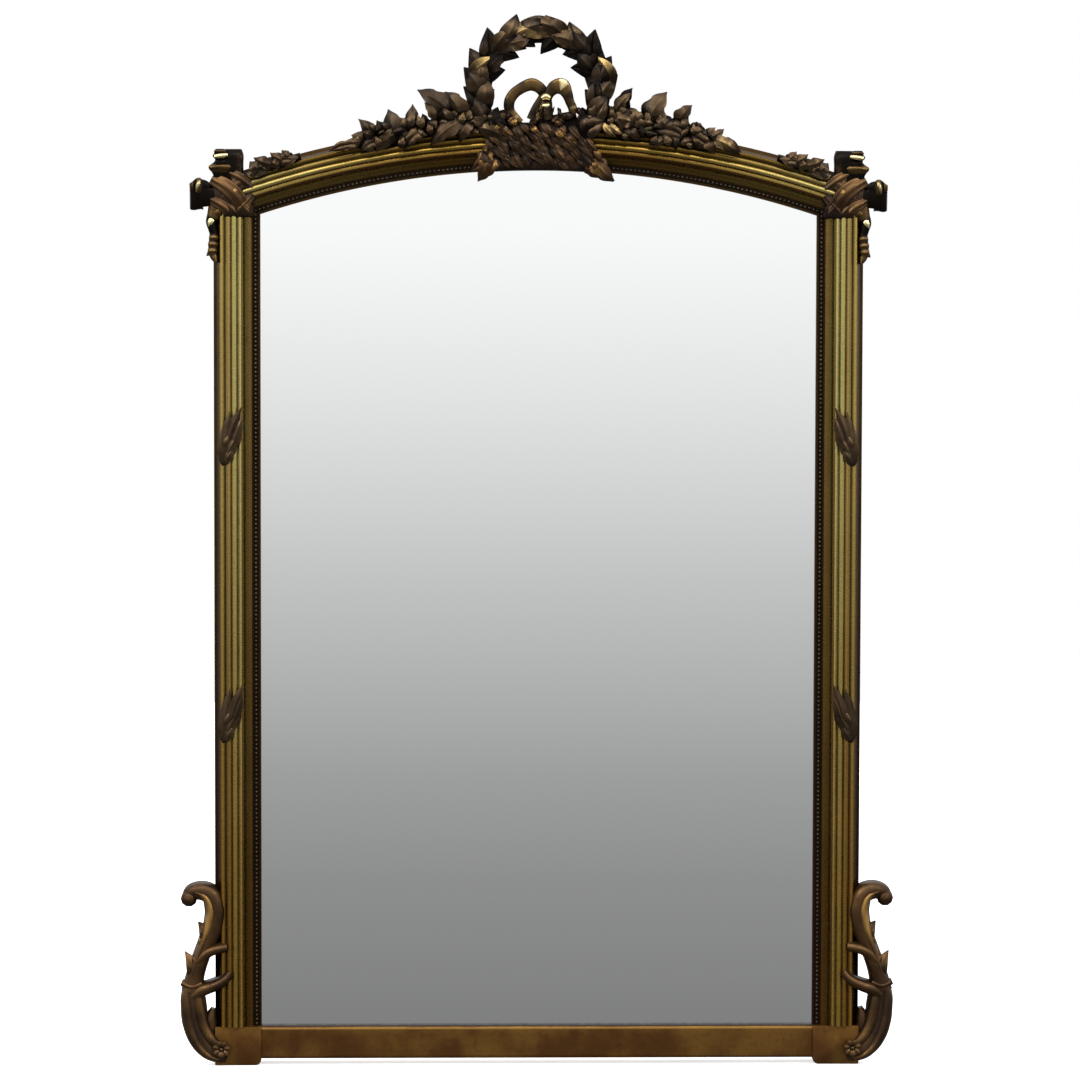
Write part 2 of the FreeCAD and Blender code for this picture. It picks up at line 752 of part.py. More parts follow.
def corner_loops():
    """Upright loop, side loop and tail of the ribbon outside the corner."""
    up = slab([corner(-50, -2), corner(-53, 50), corner(-36, 55), corner(-16, 50), corner(-6, 37),
               corner(5, 21), corner(-7, 15), corner(-6, -8)], ribbon_back, ribbon_front)
    side = slab([corner(-14, -8), corner(8, -3), corner(19, 8), corner(34, 0), corner(34, -46),
                 corner(1, -38), corner(-16, -40)], ribbon_back + 1, ribbon_front - 2)
    tail = strip([corner(-6, -30), corner(2, -52), corner(6, -70), corner(0, -91), corner(4, -110),
                  corner(4, -122), corner(-3, -133)], [18, 18, 16, 12, 14, 12, 6],
                 ribbon_back + 2, ribbon_front - 8)
    whole = fuse([up, side, tail])
    return whole.cut(knot_zone()).cut(stile_seat).cut(arch_seat)


# ---------------------------------------------------------------- scroll brackets

# Right-hand scroll; each place is (out from the side of the frame, above the shelf).
scroll_head_line = [
    (42, 279), (27, 295), (6, 284), (1, 262), (4, 236), (14, 208), (26, 178), (35, 150), (40, 118),
]
scroll_head_widths = [22, 24, 28, 30, 28, 26, 24, 24, 30]
scroll_foot_line = [(40, 130), (40, 92), (30, 54), (12, 26), (-10, 14)]
scroll_foot_widths = [26, 38, 38, 32, 26]
scroll_ball = (43, 280)
scroll_ball_radius = 12
rosette_place = (-11, 28.6)
upper_tine_line = [(24, 178), (4, 194), (-22, 203)]
upper_tine_widths = [16, 15, 5]
lower_tine_line = [(34, 122), (6, 136), (-30, 153)]
lower_tine_widths = [20, 17, 8]
upper_tip = ((12, 210), (27, 243), 20)
lower_tip = ((32, 146), (49, 192), 22)
inner_tip = ((24, 34), (6, 98), 22)


def beside(out, z):
    return (outer_half + out, z)


def scroll_strip(line, widths, back, front):
    return strip([beside(*place) for place in line], widths, back, front)


def scroll_leaf(tip, back, edge, ridge):
    base, end, width = tip
    return leaf(beside(*base), beside(*end), width, back, edge, ridge)


def scroll_bracket():
    """Right-hand S scroll with its leaf tips and tines, lapping on the stile and the block."""
    back, front = scroll_back, scroll_front
    parts = [
        scroll_strip(scroll_head_line, scroll_head_widths, back, front),
        scroll_strip(scroll_foot_line, scroll_foot_widths, back + 1, front + 1),
        disc(*beside(*scroll_ball), scroll_ball_radius, back + 2, front + 2),
        disc(*beside(*rosette_place), rosette_radius, back + 3, rosette_front),
        scroll_strip(upper_tine_line, upper_tine_widths, back + 4, front - 1),
        scroll_strip(lower_tine_line, lower_tine_widths, back + 5, front + 2),
        scroll_leaf(upper_tip, back + 6, front - 6, front),
        scroll_leaf(lower_tip, back + 7, front - 7, front),
        scroll_leaf(inner_tip, back + 8, front - 12, front - 6),
    ]
    return fuse(parts).cut(stile_seat).cut(block_seat)


# ---------------------------------------------------------------- hanging rings

def hanger_strap():
    """Iron strap on the floor of the pocket, its foot rolled round the bar of the ring."""
    x, floor = ring_x(), strap_floor()
    plate = block(x - strap_width / 2, x + strap_width / 2, ring_height, ring_height + strap_length,
                  floor - strap_thickness, floor)
    start = point(x - knuckle_width / 2, ring_height, pivot_depth)
    across = FreeCAD.Vector(1, 0, 0)
    knuckle = Part.makeCylinder(knuckle_radius, knuckle_width, start, across)
    bore = Part.makeCylinder(ring_wire_radius + ring_pin_gap, knuckle_width, start, across)
    notch_half = (strap_width - knuckle_width) / 2
    for side in (-1, 1):
        middle = x + side * (knuckle_width / 2 + notch_half / 2)
        plate = plate.cut(block(middle - notch_half / 2 - 0.01, middle + notch_half / 2 + 0.01, ring_height,
                                ring_height + knuckle_radius + 1, 0, floor))
    strap = fuse([plate, knuckle]).cut(bore)
    for z in strap_screw_heights():
        strap = strap.cut(strap_screw(z, screw_gap))
    return strap


def hanger_ring():
    """D-shaped iron ring, hanging from its straight bar."""
    x = ring_x()
    down = FreeCAD.Vector(0, 0, -1)
    top = point(x, ring_height, pivot_depth)
    arc_centre = point(x, ring_height - ring_leg, pivot_depth)
    parts = [Part.makeCylinder(ring_wire_radius, 2 * ring_radius, top - FreeCAD.Vector(ring_radius, 0, 0),
                               FreeCAD.Vector(1, 0, 0))]
    for side in (-1, 1):
        shoulder = top + FreeCAD.Vector(side * ring_radius, 0, 0)
        parts.append(Part.makeSphere(ring_wire_radius, shoulder))
        parts.append(Part.makeCylinder(ring_wire_radius, ring_leg, shoulder, down))
    section = Part.Face(Part.Wire(Part.makeCircle(
        ring_wire_radius, arc_centre + FreeCAD.Vector(ring_radius, 0, 0), down)))
    parts.append(section.revolve(arc_centre, FreeCAD.Vector(0, 1, 0), 180))
    return fuse(parts)


def hanger_screws():
    return Part.makeCompound([strap_screw(z) for z in strap_screw_heights()])


# ---------------------------------------------------------------- the nodes

nodes = {}


def add(name, shape):
    nodes[name] = shape


def add_pair(name, shape):
    """A right-hand piece and its mirror image."""
    nodes[name + "_right"] = shape
    nodes[name + "_left"] = mirrored(shape)


add_pair("carcass_stile", carcass_stile())
add("carcass_head", carcass_head())
add("carcass_rail", carcass_rail())
add("mirror_glass", glass_plate(carcass_depth - glass_thickness, carcass_depth))
add("silvering", glass_plate(silvering_back(), carcass_depth - glass_thickness))
add_pair("glazing_blocks", side_glazing_blocks())
add("glazing_blocks_foot", end_glazing_blocks(False))
add("glazing_blocks_head", end_glazing_blocks(True))
for board_number in range(board_count):
    add("backboard_%d" % (board_number + 1), backboard(board_number))
add("backboard_screws", backboard_screws())
add_pair("moulding", stile_run(moulding_edges))
add("moulding_arch", arch_run(moulding_edges))
add_pair("bead_strip", stile_run(bead_edges))
add("bead_strip_arch", arch_run(bead_edges))
add("base_rail", base_rail())
add_pair("base_block", base_block())
wreath_shape = laurel_wreath()
cluster_shape = centre_cluster()
add("laurel_wreath", wreath_shape)
add("wreath_backing", wreath_backing())
add("centre_cluster", cluster_shape)
add("ribbon_bow", bow())
add("spray_left", spray(left_spray_leaves, left_spray_berries, left_spray_stem))
add("spray_right", spray(right_spray_leaves, right_spray_berries, right_spray_stem))
add("drop_leaves_left", drop(left_drop_leaves))
add("drop_leaves_right", drop(right_drop_leaves))
add_pair("corner_knot", corner_knot())
add_pair("corner_ribbon", corner_loops())
add_pair("arch_sprig", sprig())
add_pair("binding_upper", binding(binding_height_upper))
add_pair("binding_lower", binding(binding_height_lower))
add_pair("scroll_bracket", scroll_bracket())
add_pair("hanger_strap", hanger_strap())
add_pair("hanger_ring", hanger_ring())
add_pair("hanger_screws", hanger_screws())

os.makedirs("parts", exist_ok=True)
for name, shape in nodes.items():
    shape.exportStep("parts/" + name + ".step")
    box = shape.optimalBoundingBox(False, False)
    print("%-22s solids %3d valid %s volume %9.0f  X %7.1f %7.1f  Y %6.1f %6.1f  Z %7.1f %7.1f" % (
        name, len(shape.Solids), shape.isValid(), shape.Volume,
        box.XMin, box.XMax, box.YMin, box.YMax, box.ZMin, box.ZMax))
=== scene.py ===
import math
import random

import bmesh
import bpy
import numpy as np
from mathutils import Euler, Matrix, Vector


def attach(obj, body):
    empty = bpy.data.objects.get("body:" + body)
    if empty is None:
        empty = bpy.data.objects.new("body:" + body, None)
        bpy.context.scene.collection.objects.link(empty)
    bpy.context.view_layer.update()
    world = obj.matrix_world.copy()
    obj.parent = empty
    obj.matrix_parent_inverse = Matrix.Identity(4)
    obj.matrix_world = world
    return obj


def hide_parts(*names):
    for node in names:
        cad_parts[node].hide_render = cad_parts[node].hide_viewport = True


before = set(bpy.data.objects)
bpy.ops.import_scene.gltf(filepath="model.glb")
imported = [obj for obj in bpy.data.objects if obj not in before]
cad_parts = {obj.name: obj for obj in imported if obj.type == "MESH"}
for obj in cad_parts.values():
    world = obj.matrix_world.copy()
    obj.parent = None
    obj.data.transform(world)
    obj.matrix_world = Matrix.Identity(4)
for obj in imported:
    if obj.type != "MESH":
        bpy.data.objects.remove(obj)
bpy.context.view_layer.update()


# ---------------------------------------------------------------- pine carcass
# Four planed pine boards, halved together at the corners, with the blocks that wedge the glass and
# the curved backing of the crest. Bare softwood, gone brown and grey with age and smoke.

def linear(code):
    """Linear colour of an sRGB hex code such as C9A24B."""
    parts = [int(code[i:i + 2], 16) / 255 for i in (0, 2, 4)]
    return [c / 12.92 if c <= 0.04045 else ((c + 0.055) / 1.055) ** 2.4 for c in parts] + [1.0]


def add(tree, kind, settings=None, links=None):
    """A node with its settings; links gives its inputs, by name or number, a value or a socket."""
    made = tree.nodes.new(kind)
    for name, value in (settings or {}).items():
        setattr(made, name, value)
    for name, value in (links or {}).items():
        if isinstance(value, bpy.types.NodeSocket):
            tree.links.new(value, made.inputs[name])
        else:
            made.inputs[name].default_value = value
    return made


def finish_of(name):
    """An empty material: its tree, its surface shader, and Object coordinates in metres."""
    material = bpy.data.materials.new(name)
    material.use_nodes = True
    tree = material.node_tree
    shader = tree.nodes["Principled BSDF"]
    place = add(tree, "ShaderNodeTexCoord").outputs["Object"]
    return material, tree, shader, place


def blend(tree, amount, low, high, mode="MIX"):
    """Colour between low and high by amount."""
    mix = add(tree, "ShaderNodeMix", {"data_type": "RGBA", "blend_type": mode}, {0: amount, 6: low, 7: high})
    return mix.outputs[2]


def band(tree, value, low, high, to_low=0.0, to_high=1.0):
    """value between low and high, spread smoothly over to_low ... to_high."""
    spread = add(tree, "ShaderNodeMapRange", {"interpolation_type": "SMOOTHSTEP"},
                 {0: value, 1: low, 2: high, 3: to_low, 4: to_high})
    return spread.outputs[0]


def speckle(tree, place, size_mm, detail=3.0, stretch=(1, 1, 1), shift=0.0):
    """Noise whose blotches are size_mm across, drawn out along an axis by stretch; shift gives
    another stretch of the same stuff."""
    scale = [1000 / size_mm / s for s in stretch]
    moved = add(tree, "ShaderNodeMapping", {},
                {"Vector": place, "Scale": scale, "Location": [shift] * 3}).outputs[0]
    return add(tree, "ShaderNodeTexNoise", {}, {"Vector": moved, "Scale": 1.0, "Detail": detail}).outputs[0]


def pine(name, stretch, pale, dark, grime, sawn, shift=0.0):
    """Softwood: growth rings 5 mm apart drawn out along the board, grime in broad patches."""
    material, tree, shader, place = finish_of(name)
    rings = speckle(tree, place, 5, 2.0, stretch, shift)
    fibres = speckle(tree, place, 0.9, 2.0, stretch, shift)
    patches = speckle(tree, place, 160, 4.0, shift=shift)
    wood = blend(tree, band(tree, rings, 0.38, 0.62), linear(pale), linear(dark))
    wood = blend(tree, band(tree, patches, 0.42, 0.68, 0.0, 0.7), wood, linear(grime))
    tree.links.new(wood, shader.inputs["Base Color"])
    shader.inputs["Roughness"].default_value = 0.72
    height = add(tree, "ShaderNodeMath", {"operation": "ADD"}, {0: rings, 1: fibres}).outputs[0]
    bump = add(tree, "ShaderNodeBump", {}, {"Strength": sawn, "Distance": 0.0006, "Height": height})
    tree.links.new(bump.outputs[0], shader.inputs["Normal"])
    return material


pine_upright = pine("Pine planed upright grain", (1, 1, 28), "A98256", "7D5935", "4A3826", 0.35)
pine_level = pine("Pine planed level grain", (28, 1, 1), "A98256", "7D5935", "4A3826", 0.35)


def dress(material, *names):
    """Gives CAD nodes their finish."""
    for name in names:
        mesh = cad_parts[name].data
        mesh.materials.clear()
        mesh.materials.append(material)


dress(pine_upright, "carcass_stile_left", "carcass_stile_right",
      "glazing_blocks_left", "glazing_blocks_right")
dress(pine_level, "carcass_head", "carcass_rail", "glazing_blocks_foot", "glazing_blocks_head",
      "wreath_backing")

# ---------------------------------------------------------------- backboards
# Five rough-sawn softwood boards let into the back, screwed at their ends. Never finished, so they
# are greyer and dirtier than the carcass, and the saw has left them furry. Each is its own tone.

board_tones = [("8F7150", "6A5037"), ("9A7B58", "72583D"), ("87694A", "5F4730"),
               ("947653", "6E5439"), ("8A6F52", "665039")]
board_apart = 7.3
for number, (pale, dark) in enumerate(board_tones, 1):
    sawn = pine("Softwood rough sawn board %d" % number, (34, 1, 1), pale, dark, "3D3226", 0.8,
                board_apart * number)
    dress(sawn, "backboard_%d" % number)

# ---------------------------------------------------------------- iron
# Hanging rings, their straps and all screws: forged iron, blackened when made and since gone
# brown with a thin even rust.


def forged_iron():
    """Blackened iron, satin where the scale holds and matt brown where rust has come through."""
    material, tree, shader, place = finish_of("Forged iron blackened")
    patches = speckle(tree, place, 6, 5.0)
    grains = speckle(tree, place, 0.8, 2.0)
    tree.links.new(blend(tree, band(tree, patches, 0.42, 0.66), linear("2A2826"), linear("4B3325")),
                   shader.inputs["Base Color"])
    tree.links.new(band(tree, patches, 0.3, 0.7, 0.42, 0.8), shader.inputs["Roughness"])
    shader.inputs["Metallic"].default_value = 0.8
    bump = add(tree, "ShaderNodeBump", {}, {"Strength": 0.4, "Distance": 0.0004, "Height": grains})
    tree.links.new(bump.outputs[0], shader.inputs["Normal"])
    return material


dress(forged_iron(), "hanger_strap_left", "hanger_strap_right", "hanger_ring_left", "hanger_ring_right",
      "hanger_screws_left", "hanger_screws_right", "backboard_screws")

# ---------------------------------------------------------------- mirror plate
# One sheet of polished plate glass, silvered on its back. It gives a clean, nearly neutral
# reflection, a trace darker than what it shows; the back of the silver is painted red-brown.


def silvered_plate():
    """Silver seen through polished glass, with a haze in broad clouds that only softens it a trace."""
    material, tree, shader, place = finish_of("Plate glass silvered")
    haze = speckle(tree, place, 220, 3.0)
    shader.inputs["Base Color"].default_value = linear("F3F4F4")
    shader.inputs["Metallic"].default_value = 1.0
    tree.links.new(band(tree, haze, 0.3, 0.8, 0.012, 0.03), shader.inputs["Roughness"])
    return material


def backing_paint():
    """Red lead paint, matt, with the strokes of the brush."""
    material, tree, shader, place = finish_of("Red lead backing paint")
    brushed = speckle(tree, place, 3, 3.0, (1, 1, 12))
    tree.links.new(blend(tree, brushed, linear("5B2A1C"), linear("72382A")), shader.inputs["Base Color"])
    shader.inputs["Roughness"].default_value = 0.6
    return material


dress(silvered_plate(), "mirror_glass")
dress(backing_paint(), "silvering")

# ---------------------------------------------------------------- reeded mouldings
# Two stiles and the arched head: pine faced with gesso and red-brown bole, cut into four reeds, a
# cove and a bead channel, then water-gilded. Bright on the crowns of the reeds, partly rubbed gold
# and partly painted highlight, and dark between, partly dirt and partly painted shade.

sight_half, sight_bottom, sight_spring, arch_rise = 0.461, 0.0645, 1.417, 0.074
moulding_width, carcass_depth = 0.077, 0.030
outer_half = sight_half + moulding_width
sight_radius = (sight_half ** 2 + arch_rise ** 2) / (2 * arch_rise)
arch_centre = sight_spring + arch_rise - sight_radius
outer_radius = sight_radius + moulding_width
corner_height = arch_centre + math.sqrt(outer_radius ** 2 - outer_half ** 2)
arch_top = arch_centre + outer_radius
mitre_slope = (corner_height - sight_spring) / moulding_width

reed_start, reed_pitch, reed_swell = 27, 10.3, 3.6
groove_heights = (21.0, 24.5, 25.5, 23.0, 17.0)
# For each reed: how steeply it darkens to its inner and its outer groove, and how dark the inner is;
# the darkening is painted shade in the grooves, and the crowns stay pale as painted highlights.
groove_darkness = ((7, 1.8, 0.5), (3.2, 3.2, 0.95), (3.2, 3.2, 0.95), (3.2, 7, 0.95))
deepest = 0.95
steps_on_reed = 14
rows_up_stile, rows_round_arch = 110, 96
# Planed and gilded by hand, so no face is quite true: slow and quick waves, in metres.
slow_wave, quick_wave, wavy_above = 0.00025, 0.00012, 0.005


def swell(u0, h0, u1, h1, rise, count):
    """Points of a shallow arc from one place of the section to the next, the last left out."""
    points = []
    length = math.hypot(u1 - u0, h1 - h0)
    for i in range(count):
        t = i / count
        bulge = rise * 4 * t * (1 - t)
        points.append((u0 + (u1 - u0) * t - bulge * (h1 - h0) / length,
                       h0 + (h1 - h0) * t + bulge * (u1 - u0) / length))
    return points


def moulding_section():
    """Places (from sight, above the carcass) in mm, and how hollow each lies, from 0 to 1: the channel,
    the grooves and the outer rim are painted dark as shade, the crowns of the reeds pale as highlights.
    """
    section = [(0, 0, 1), (0, 6.4, 1), (0.6, 7, 0.9), (1.4, 6.8, 0.95), (1.7, 4.3, 1), (5, 4, 1), (11, 4, 1),
               (13.6, 4.2, 1), (14.0, 7.4, 0.8), (14.5, 8, 0.25)]
    for i, (u, h) in enumerate(swell(14.5, 8, reed_start, groove_heights[0], -2.5, 8)[1:]):
        section.append((u, h, 0.2 + 0.12 * math.sin(math.pi * i / 7)))
    for number, (inward, outward, deep) in enumerate(groove_darkness):
        u0 = reed_start + reed_pitch * number
        h0, h1 = groove_heights[number:number + 2]
        for i, (u, h) in enumerate(swell(u0, h0, u0 + reed_pitch, h1, reed_swell, steps_on_reed)):
            off = 2 * i / steps_on_reed - 1
            section.append((u, h, deep * (-off) ** inward if off < 0 else deepest * off ** outward))
    strip_start = reed_start + 4 * reed_pitch
    section.append((strip_start, groove_heights[-1], 0.45))
    # The outer rim darkens toward its edge: painted shade.
    for u, h in swell(strip_start, groove_heights[-1], 77, 8, -1.5, 6)[1:]:
        section.append((u, h, 0.15 + (u - strip_start) / 20))
    section += [(76.6, 8.2, 0.7), (77, 7.6, 0.9), (77, 0, 1)]
    return [(u / 1000, h / 1000, hollow) for u, h, hollow in section]


def finished(name, mesh, sharp=50):
    """The mesh as an object, its faces turned outward and shaded smooth up to the sharp angle."""
    work = bmesh.new()
    work.from_mesh(mesh)
    bmesh.ops.recalc_face_normals(work, faces=work.faces)
    work.to_mesh(mesh)
    work.free()
    mesh.shade_smooth()
    mesh.set_sharp_from_angle(angle=math.radians(sharp))
    made = bpy.data.objects.new(name, mesh)
    bpy.context.scene.collection.objects.link(made)
    return made


def swept(name, section, rows):
    """A closed moulding: rows of the section, each row placing (from sight, height) as a point."""
    mesh = bpy.data.meshes.new(name)
    count = len(section)
    points = [place(u, h) for place in rows for u, h, _ in section]
    faces = []
    for r in range(len(rows) - 1):
        for c in range(count):
            d = (c + 1) % count
            faces.append((r * count + c, r * count + d, (r + 1) * count + d, (r + 1) * count + c))
    faces.append(tuple(range(count)))
    faces.append(tuple((len(rows) - 1) * count + c for c in reversed(range(count))))
    mesh.from_pydata(points, [], faces)
    hollow = mesh.attributes.new("hollow", "FLOAT", "POINT")
    hollow.data.foreach_set("value", [h for _ in rows for _, _, h in section])
    across = mesh.attributes.new("across", "FLOAT", "POINT")
    across.data.foreach_set("value", [u for _ in rows for u, _, _ in section])
    return finished(name, mesh)


def stile_rows(side, bottom):
    """Rows up one stile; the last lies on the mitre line."""
    rows = []
    for r in range(rows_up_stile + 1):

        def place(u, h, t=r / rows_up_stile):
            top = sight_spring + mitre_slope * u
            z = bottom + (top - bottom) * t
            wave = slow_wave * math.sin(9 * z + 140 * u) + quick_wave * math.sin(37 * z)
            return (side * (sight_half + u), -(carcass_depth + h + (wave if h > wavy_above else 0)), z)

        rows.append(place)
    return rows


def mitre_angle(radius):
    """Where a circle about the centre of the arch meets the mitre line."""
    low, high = 0.0, 0.6
    for _ in range(40):
        middle = (low + high) / 2
        x, z = radius * math.sin(middle), arch_centre + radius * math.cos(middle)
        if z > sight_spring + mitre_slope * (x - sight_half):
            low = middle
        else:
            high = middle
    return low


def arch_rows():
    """Rows round the arched head, from mitre to mitre."""
    rows = []
    for r in range(rows_round_arch + 1):

        def place(u, h, t=2 * r / rows_round_arch - 1):
            radius = sight_radius + u
            angle = t * mitre_angle(radius)
            wave = slow_wave * math.sin(15 * angle + 140 * u)
            return (radius * math.sin(angle), -(carcass_depth + h + (wave if h > wavy_above else 0)),
                    arch_centre + radius * math.cos(angle))

        rows.append(place)
    return rows


def water_gilding(name, rubbed_and_highlight, leaf, shade, dirt_and_shade, rough, proud=(0.0, 0.3), reach=(0.5, 0.85), soot=0.35):
    """Leaf gold on bole in three depths: pale where it stands proud, partly rubbed wear and partly a
    painted highlight; toned in laps of 70 mm on the sides; dark in the hollows, partly dirt and
    partly painted shade. proud and reach are how hollow a place is where the pale gold ends and
    where the dark begins and has covered it."""
    material, tree, shader, place = finish_of(name)
    hollow = add(tree, "ShaderNodeAttribute", {"attribute_name": "hollow"}).outputs["Fac"]
    clouds = speckle(tree, place, 70, 4.0)
    mottle = speckle(tree, place, 9, 5.0)
    specks = speckle(tree, place, 1.6, 3.0)
    uneven = add(tree, "ShaderNodeMath", {"operation": "MULTIPLY_ADD"},
                 {0: specks, 1: soot, 2: -soot / 2}).outputs[0]
    worn_and_shaded = add(tree, "ShaderNodeMath", {"operation": "ADD"}, {0: hollow, 1: uneven}).outputs[0]
    tone = blend(tree, band(tree, clouds, 0.35, 0.65), linear(leaf), linear(shade))
    tone = blend(tree, band(tree, mottle, 0.52, 0.72, 0.0, 0.4), tone, linear("4A2A18"))
    # Low hollowness gets the pale colour, rubbed gold and painted highlight; high hollowness the dark colour,
    # dirt and painted shade.
    gold = blend(tree, band(tree, worn_and_shaded, *proud), linear(rubbed_and_highlight), tone)
    dirt_and_painted_light = band(tree, worn_and_shaded, *reach)
    tree.links.new(blend(tree, dirt_and_painted_light, gold, linear(dirt_and_shade)), shader.inputs["Base Color"])
    tree.links.new(band(tree, dirt_and_painted_light, 0.0, 1.0, 0.92, 0.3), shader.inputs["Metallic"])
    tree.links.new(band(tree, dirt_and_painted_light, 0.0, 1.0, 0.5, 0.06), shader.inputs["Specular IOR Level"])
    rub = add(tree, "ShaderNodeMath", {"operation": "MULTIPLY_ADD"}, {0: mottle, 1: 0.3, 2: rough - 0.15})
    tree.links.new(rub.outputs[0], shader.inputs["Roughness"])
    height = add(tree, "ShaderNodeMath", {"operation": "ADD"}, {0: mottle, 1: specks}).outputs[0]
    bump = add(tree, "ShaderNodeBump", {}, {"Strength": 0.22, "Distance": 0.0008, "Height": height})
    tree.links.new(bump.outputs[0], shader.inputs["Normal"])
    return material


def toned(material, marks):
    """Tones the reeds apart: marks hold how many mm from the glass each shade lies. All of them go
    darker and browner toward the shelf, a painted shade for light falling off downward, and
    browner again toward the top of the arch."""
    tree = material.node_tree
    shader = tree.nodes["Principled BSDF"]
    under = shader.inputs["Base Color"].links[0].from_socket
    across = add(tree, "ShaderNodeAttribute", {"attribute_name": "across"}).outputs["Fac"]
    ramp_reach = 80
    strips = add(tree, "ShaderNodeValToRGB", {}, {0: band(tree, across, 0.0, ramp_reach / 1000)})
    ramp = strips.color_ramp
    ramp.elements[0].position, ramp.elements[1].position = marks[0][0], marks[-1][0] / ramp_reach
    for at, _ in marks[1:-1]:
        ramp.elements.new(at / ramp_reach)
    for element, (_, shade) in zip(ramp.elements, marks):
        element.color = linear(shade)
    striped = blend(tree, 1.0, under, strips.outputs[0], "MULTIPLY")
    where = add(tree, "ShaderNodeTexCoord").outputs["Object"]
    up = add(tree, "ShaderNodeSeparateXYZ", {}, {0: where}).outputs["Z"]
    # Painted shade: darker and browner toward the shelf; then browner toward the top of the arch.
    shade_and_browning = blend(tree, band(tree, up, 0.1, 1.3), linear("D2B690"), linear("FFFFFF"))
    shade_and_browning = blend(tree, band(tree, up, 1.455, 1.53), shade_and_browning, linear("D2BC90"))
    tree.links.new(blend(tree, 1.0, striped, shade_and_browning, "MULTIPLY"), shader.inputs["Base Color"])
    return material


# Shades at so many mm from the glass: channel, cove, the four reeds with a step at each groove, rim.
# The dark marks where the cove meets the first reed and on the rim are painted shade.
stile_marks = [(0.0, "A08C70"), (14.0, "A08C70"), (14.8, "A8A078"), (22.0, "A09468"), (26.2, "8C6C44"),
               (27.2, "FFFFF0"), (36.8, "FFFFF0"), (37.8, "E8E8D0"), (47.2, "E0E4C4"), (48.0, "E6D4B4"),
               (57.4, "DCC8A8"), (58.4, "BCB094"), (67.0, "ACA084"), (68.2, "E0CCA0"), (72.0, "E8D4A8"),
               (74.0, "8C7858"), (76.0, "6C5C48")]
arch_marks = [(0.0, "A08C70"), (14.0, "A08C70"), (14.8, "C8BC88"), (20.0, "BCA878"), (22.0, "845C40"),
              (26.2, "7C5438"), (27.2, "B8AC88"), (36.8, "B0A080"), (37.8, "ECE4C8"), (47.2, "E4DCC0"),
              (48.0, "E4D8B4"), (57.4, "DCD0B0"), (58.4, "B4AC90"), (67.0, "ACA080"), (68.6, "8C8060"),
              (76.0, "6C5C44")]
reed_gilding = {}
for name, marks in (("stiles", stile_marks), ("arch", arch_marks)):
    gilded = water_gilding("Water gilding on the reeds of the " + name, "BEB27C", "8E8052", "7C6C40", "463A1C",
                           0.27, proud=(0.0, 0.5), reach=(0.65, 1.0), soot=0.06)
    reed_gilding[name] = toned(gilded, marks)


def seat(piece, material, body, slot, *nodes):
    """Gives a piece its finish, its body and the nodes it stands for; slot, its place in the record, is not
    used.
    """
    piece.data.materials.clear()
    piece.data.materials.append(material)
    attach(piece, body)
    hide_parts(*nodes)
    return piece


section = moulding_section()
for side, turn in (("left", -1), ("right", 1)):
    seat(swept("reeding_" + side, section, stile_rows(turn, sight_bottom)), reed_gilding["stiles"], "frame",
         "gilt_moulding", "moulding_" + side)
seat(swept("reeding_arch", section, arch_rows()), reed_gilding["arch"], "frame", "gilt_moulding",
     "moulding_arch")

# ---------------------------------------------------------------- bead strings
# Small pearls pressed in composition on a narrow bed and pinned in the channel beside the glass,
# 6 mm across and 7.2 mm apart. Bronzed dark, their crowns bright, partly rubbed gold and partly
# painted highlight, and their lower sides painted dark as shade.

bead_gilding = water_gilding("Composition pearls bronzed", "6A5C46", "423626", "2E251B", "120C07", 0.42)
bead_pitch, bead_radius = 0.0072, 0.003
channel_middle, channel_floor = 0.008, carcass_depth + 0.0042
bed_height = 0.0007
dark_below, crown_height = -carcass_depth - 0.0045, 0.0026


def bead_tree():
    """Pearls every pitch along the line of a mesh; their bed is joined to them afterwards."""
    tree = bpy.data.node_groups.new("Bead string", "GeometryNodeTree")
    face = tree.interface
    face.new_socket("Line", in_out="INPUT", socket_type="NodeSocketGeometry")
    for name, value in (("Pitch", bead_pitch), ("Pearl radius", bead_radius), ("Unevenness", 0.08)):
        face.new_socket(name, in_out="INPUT", socket_type="NodeSocketFloat").default_value = value
    face.new_socket("Finish", in_out="INPUT", socket_type="NodeSocketMaterial")
    face.new_socket("Beads", in_out="OUTPUT", socket_type="NodeSocketGeometry")
    given = add(tree, "NodeGroupInput").outputs
    line = add(tree, "GeometryNodeMeshToCurve", {}, {"Mesh": given["Line"]}).outputs[0]
    places = add(tree, "GeometryNodeCurveToPoints", {"mode": "LENGTH"},
                 {"Curve": line, "Length": given["Pitch"]}).outputs[0]
    ball = add(tree, "GeometryNodeMeshUVSphere", {},
               {"Segments": 8, "Rings": 6, "Radius": given["Pearl radius"]}).outputs[0]
    low = add(tree, "ShaderNodeMath", {"operation": "SUBTRACT"}, {0: 1.0, 1: given["Unevenness"]}).outputs[0]
    size = add(tree, "FunctionNodeRandomValue", {"data_type": "FLOAT"}, {2: low, 3: 1.0, "Seed": 7}).outputs[1]
    string = add(tree, "GeometryNodeInstanceOnPoints", {},
                 {"Points": places, "Instance": ball, "Scale": size}).outputs[0]
    solid = add(tree, "GeometryNodeRealizeInstances", {}, {"Geometry": string}).outputs[0]
    dressed = add(tree, "GeometryNodeSetMaterial", {},
                  {"Geometry": solid, "Material": given["Finish"]}).outputs[0]
    add(tree, "NodeGroupOutput", {}, {"Beads": dressed})
    return tree


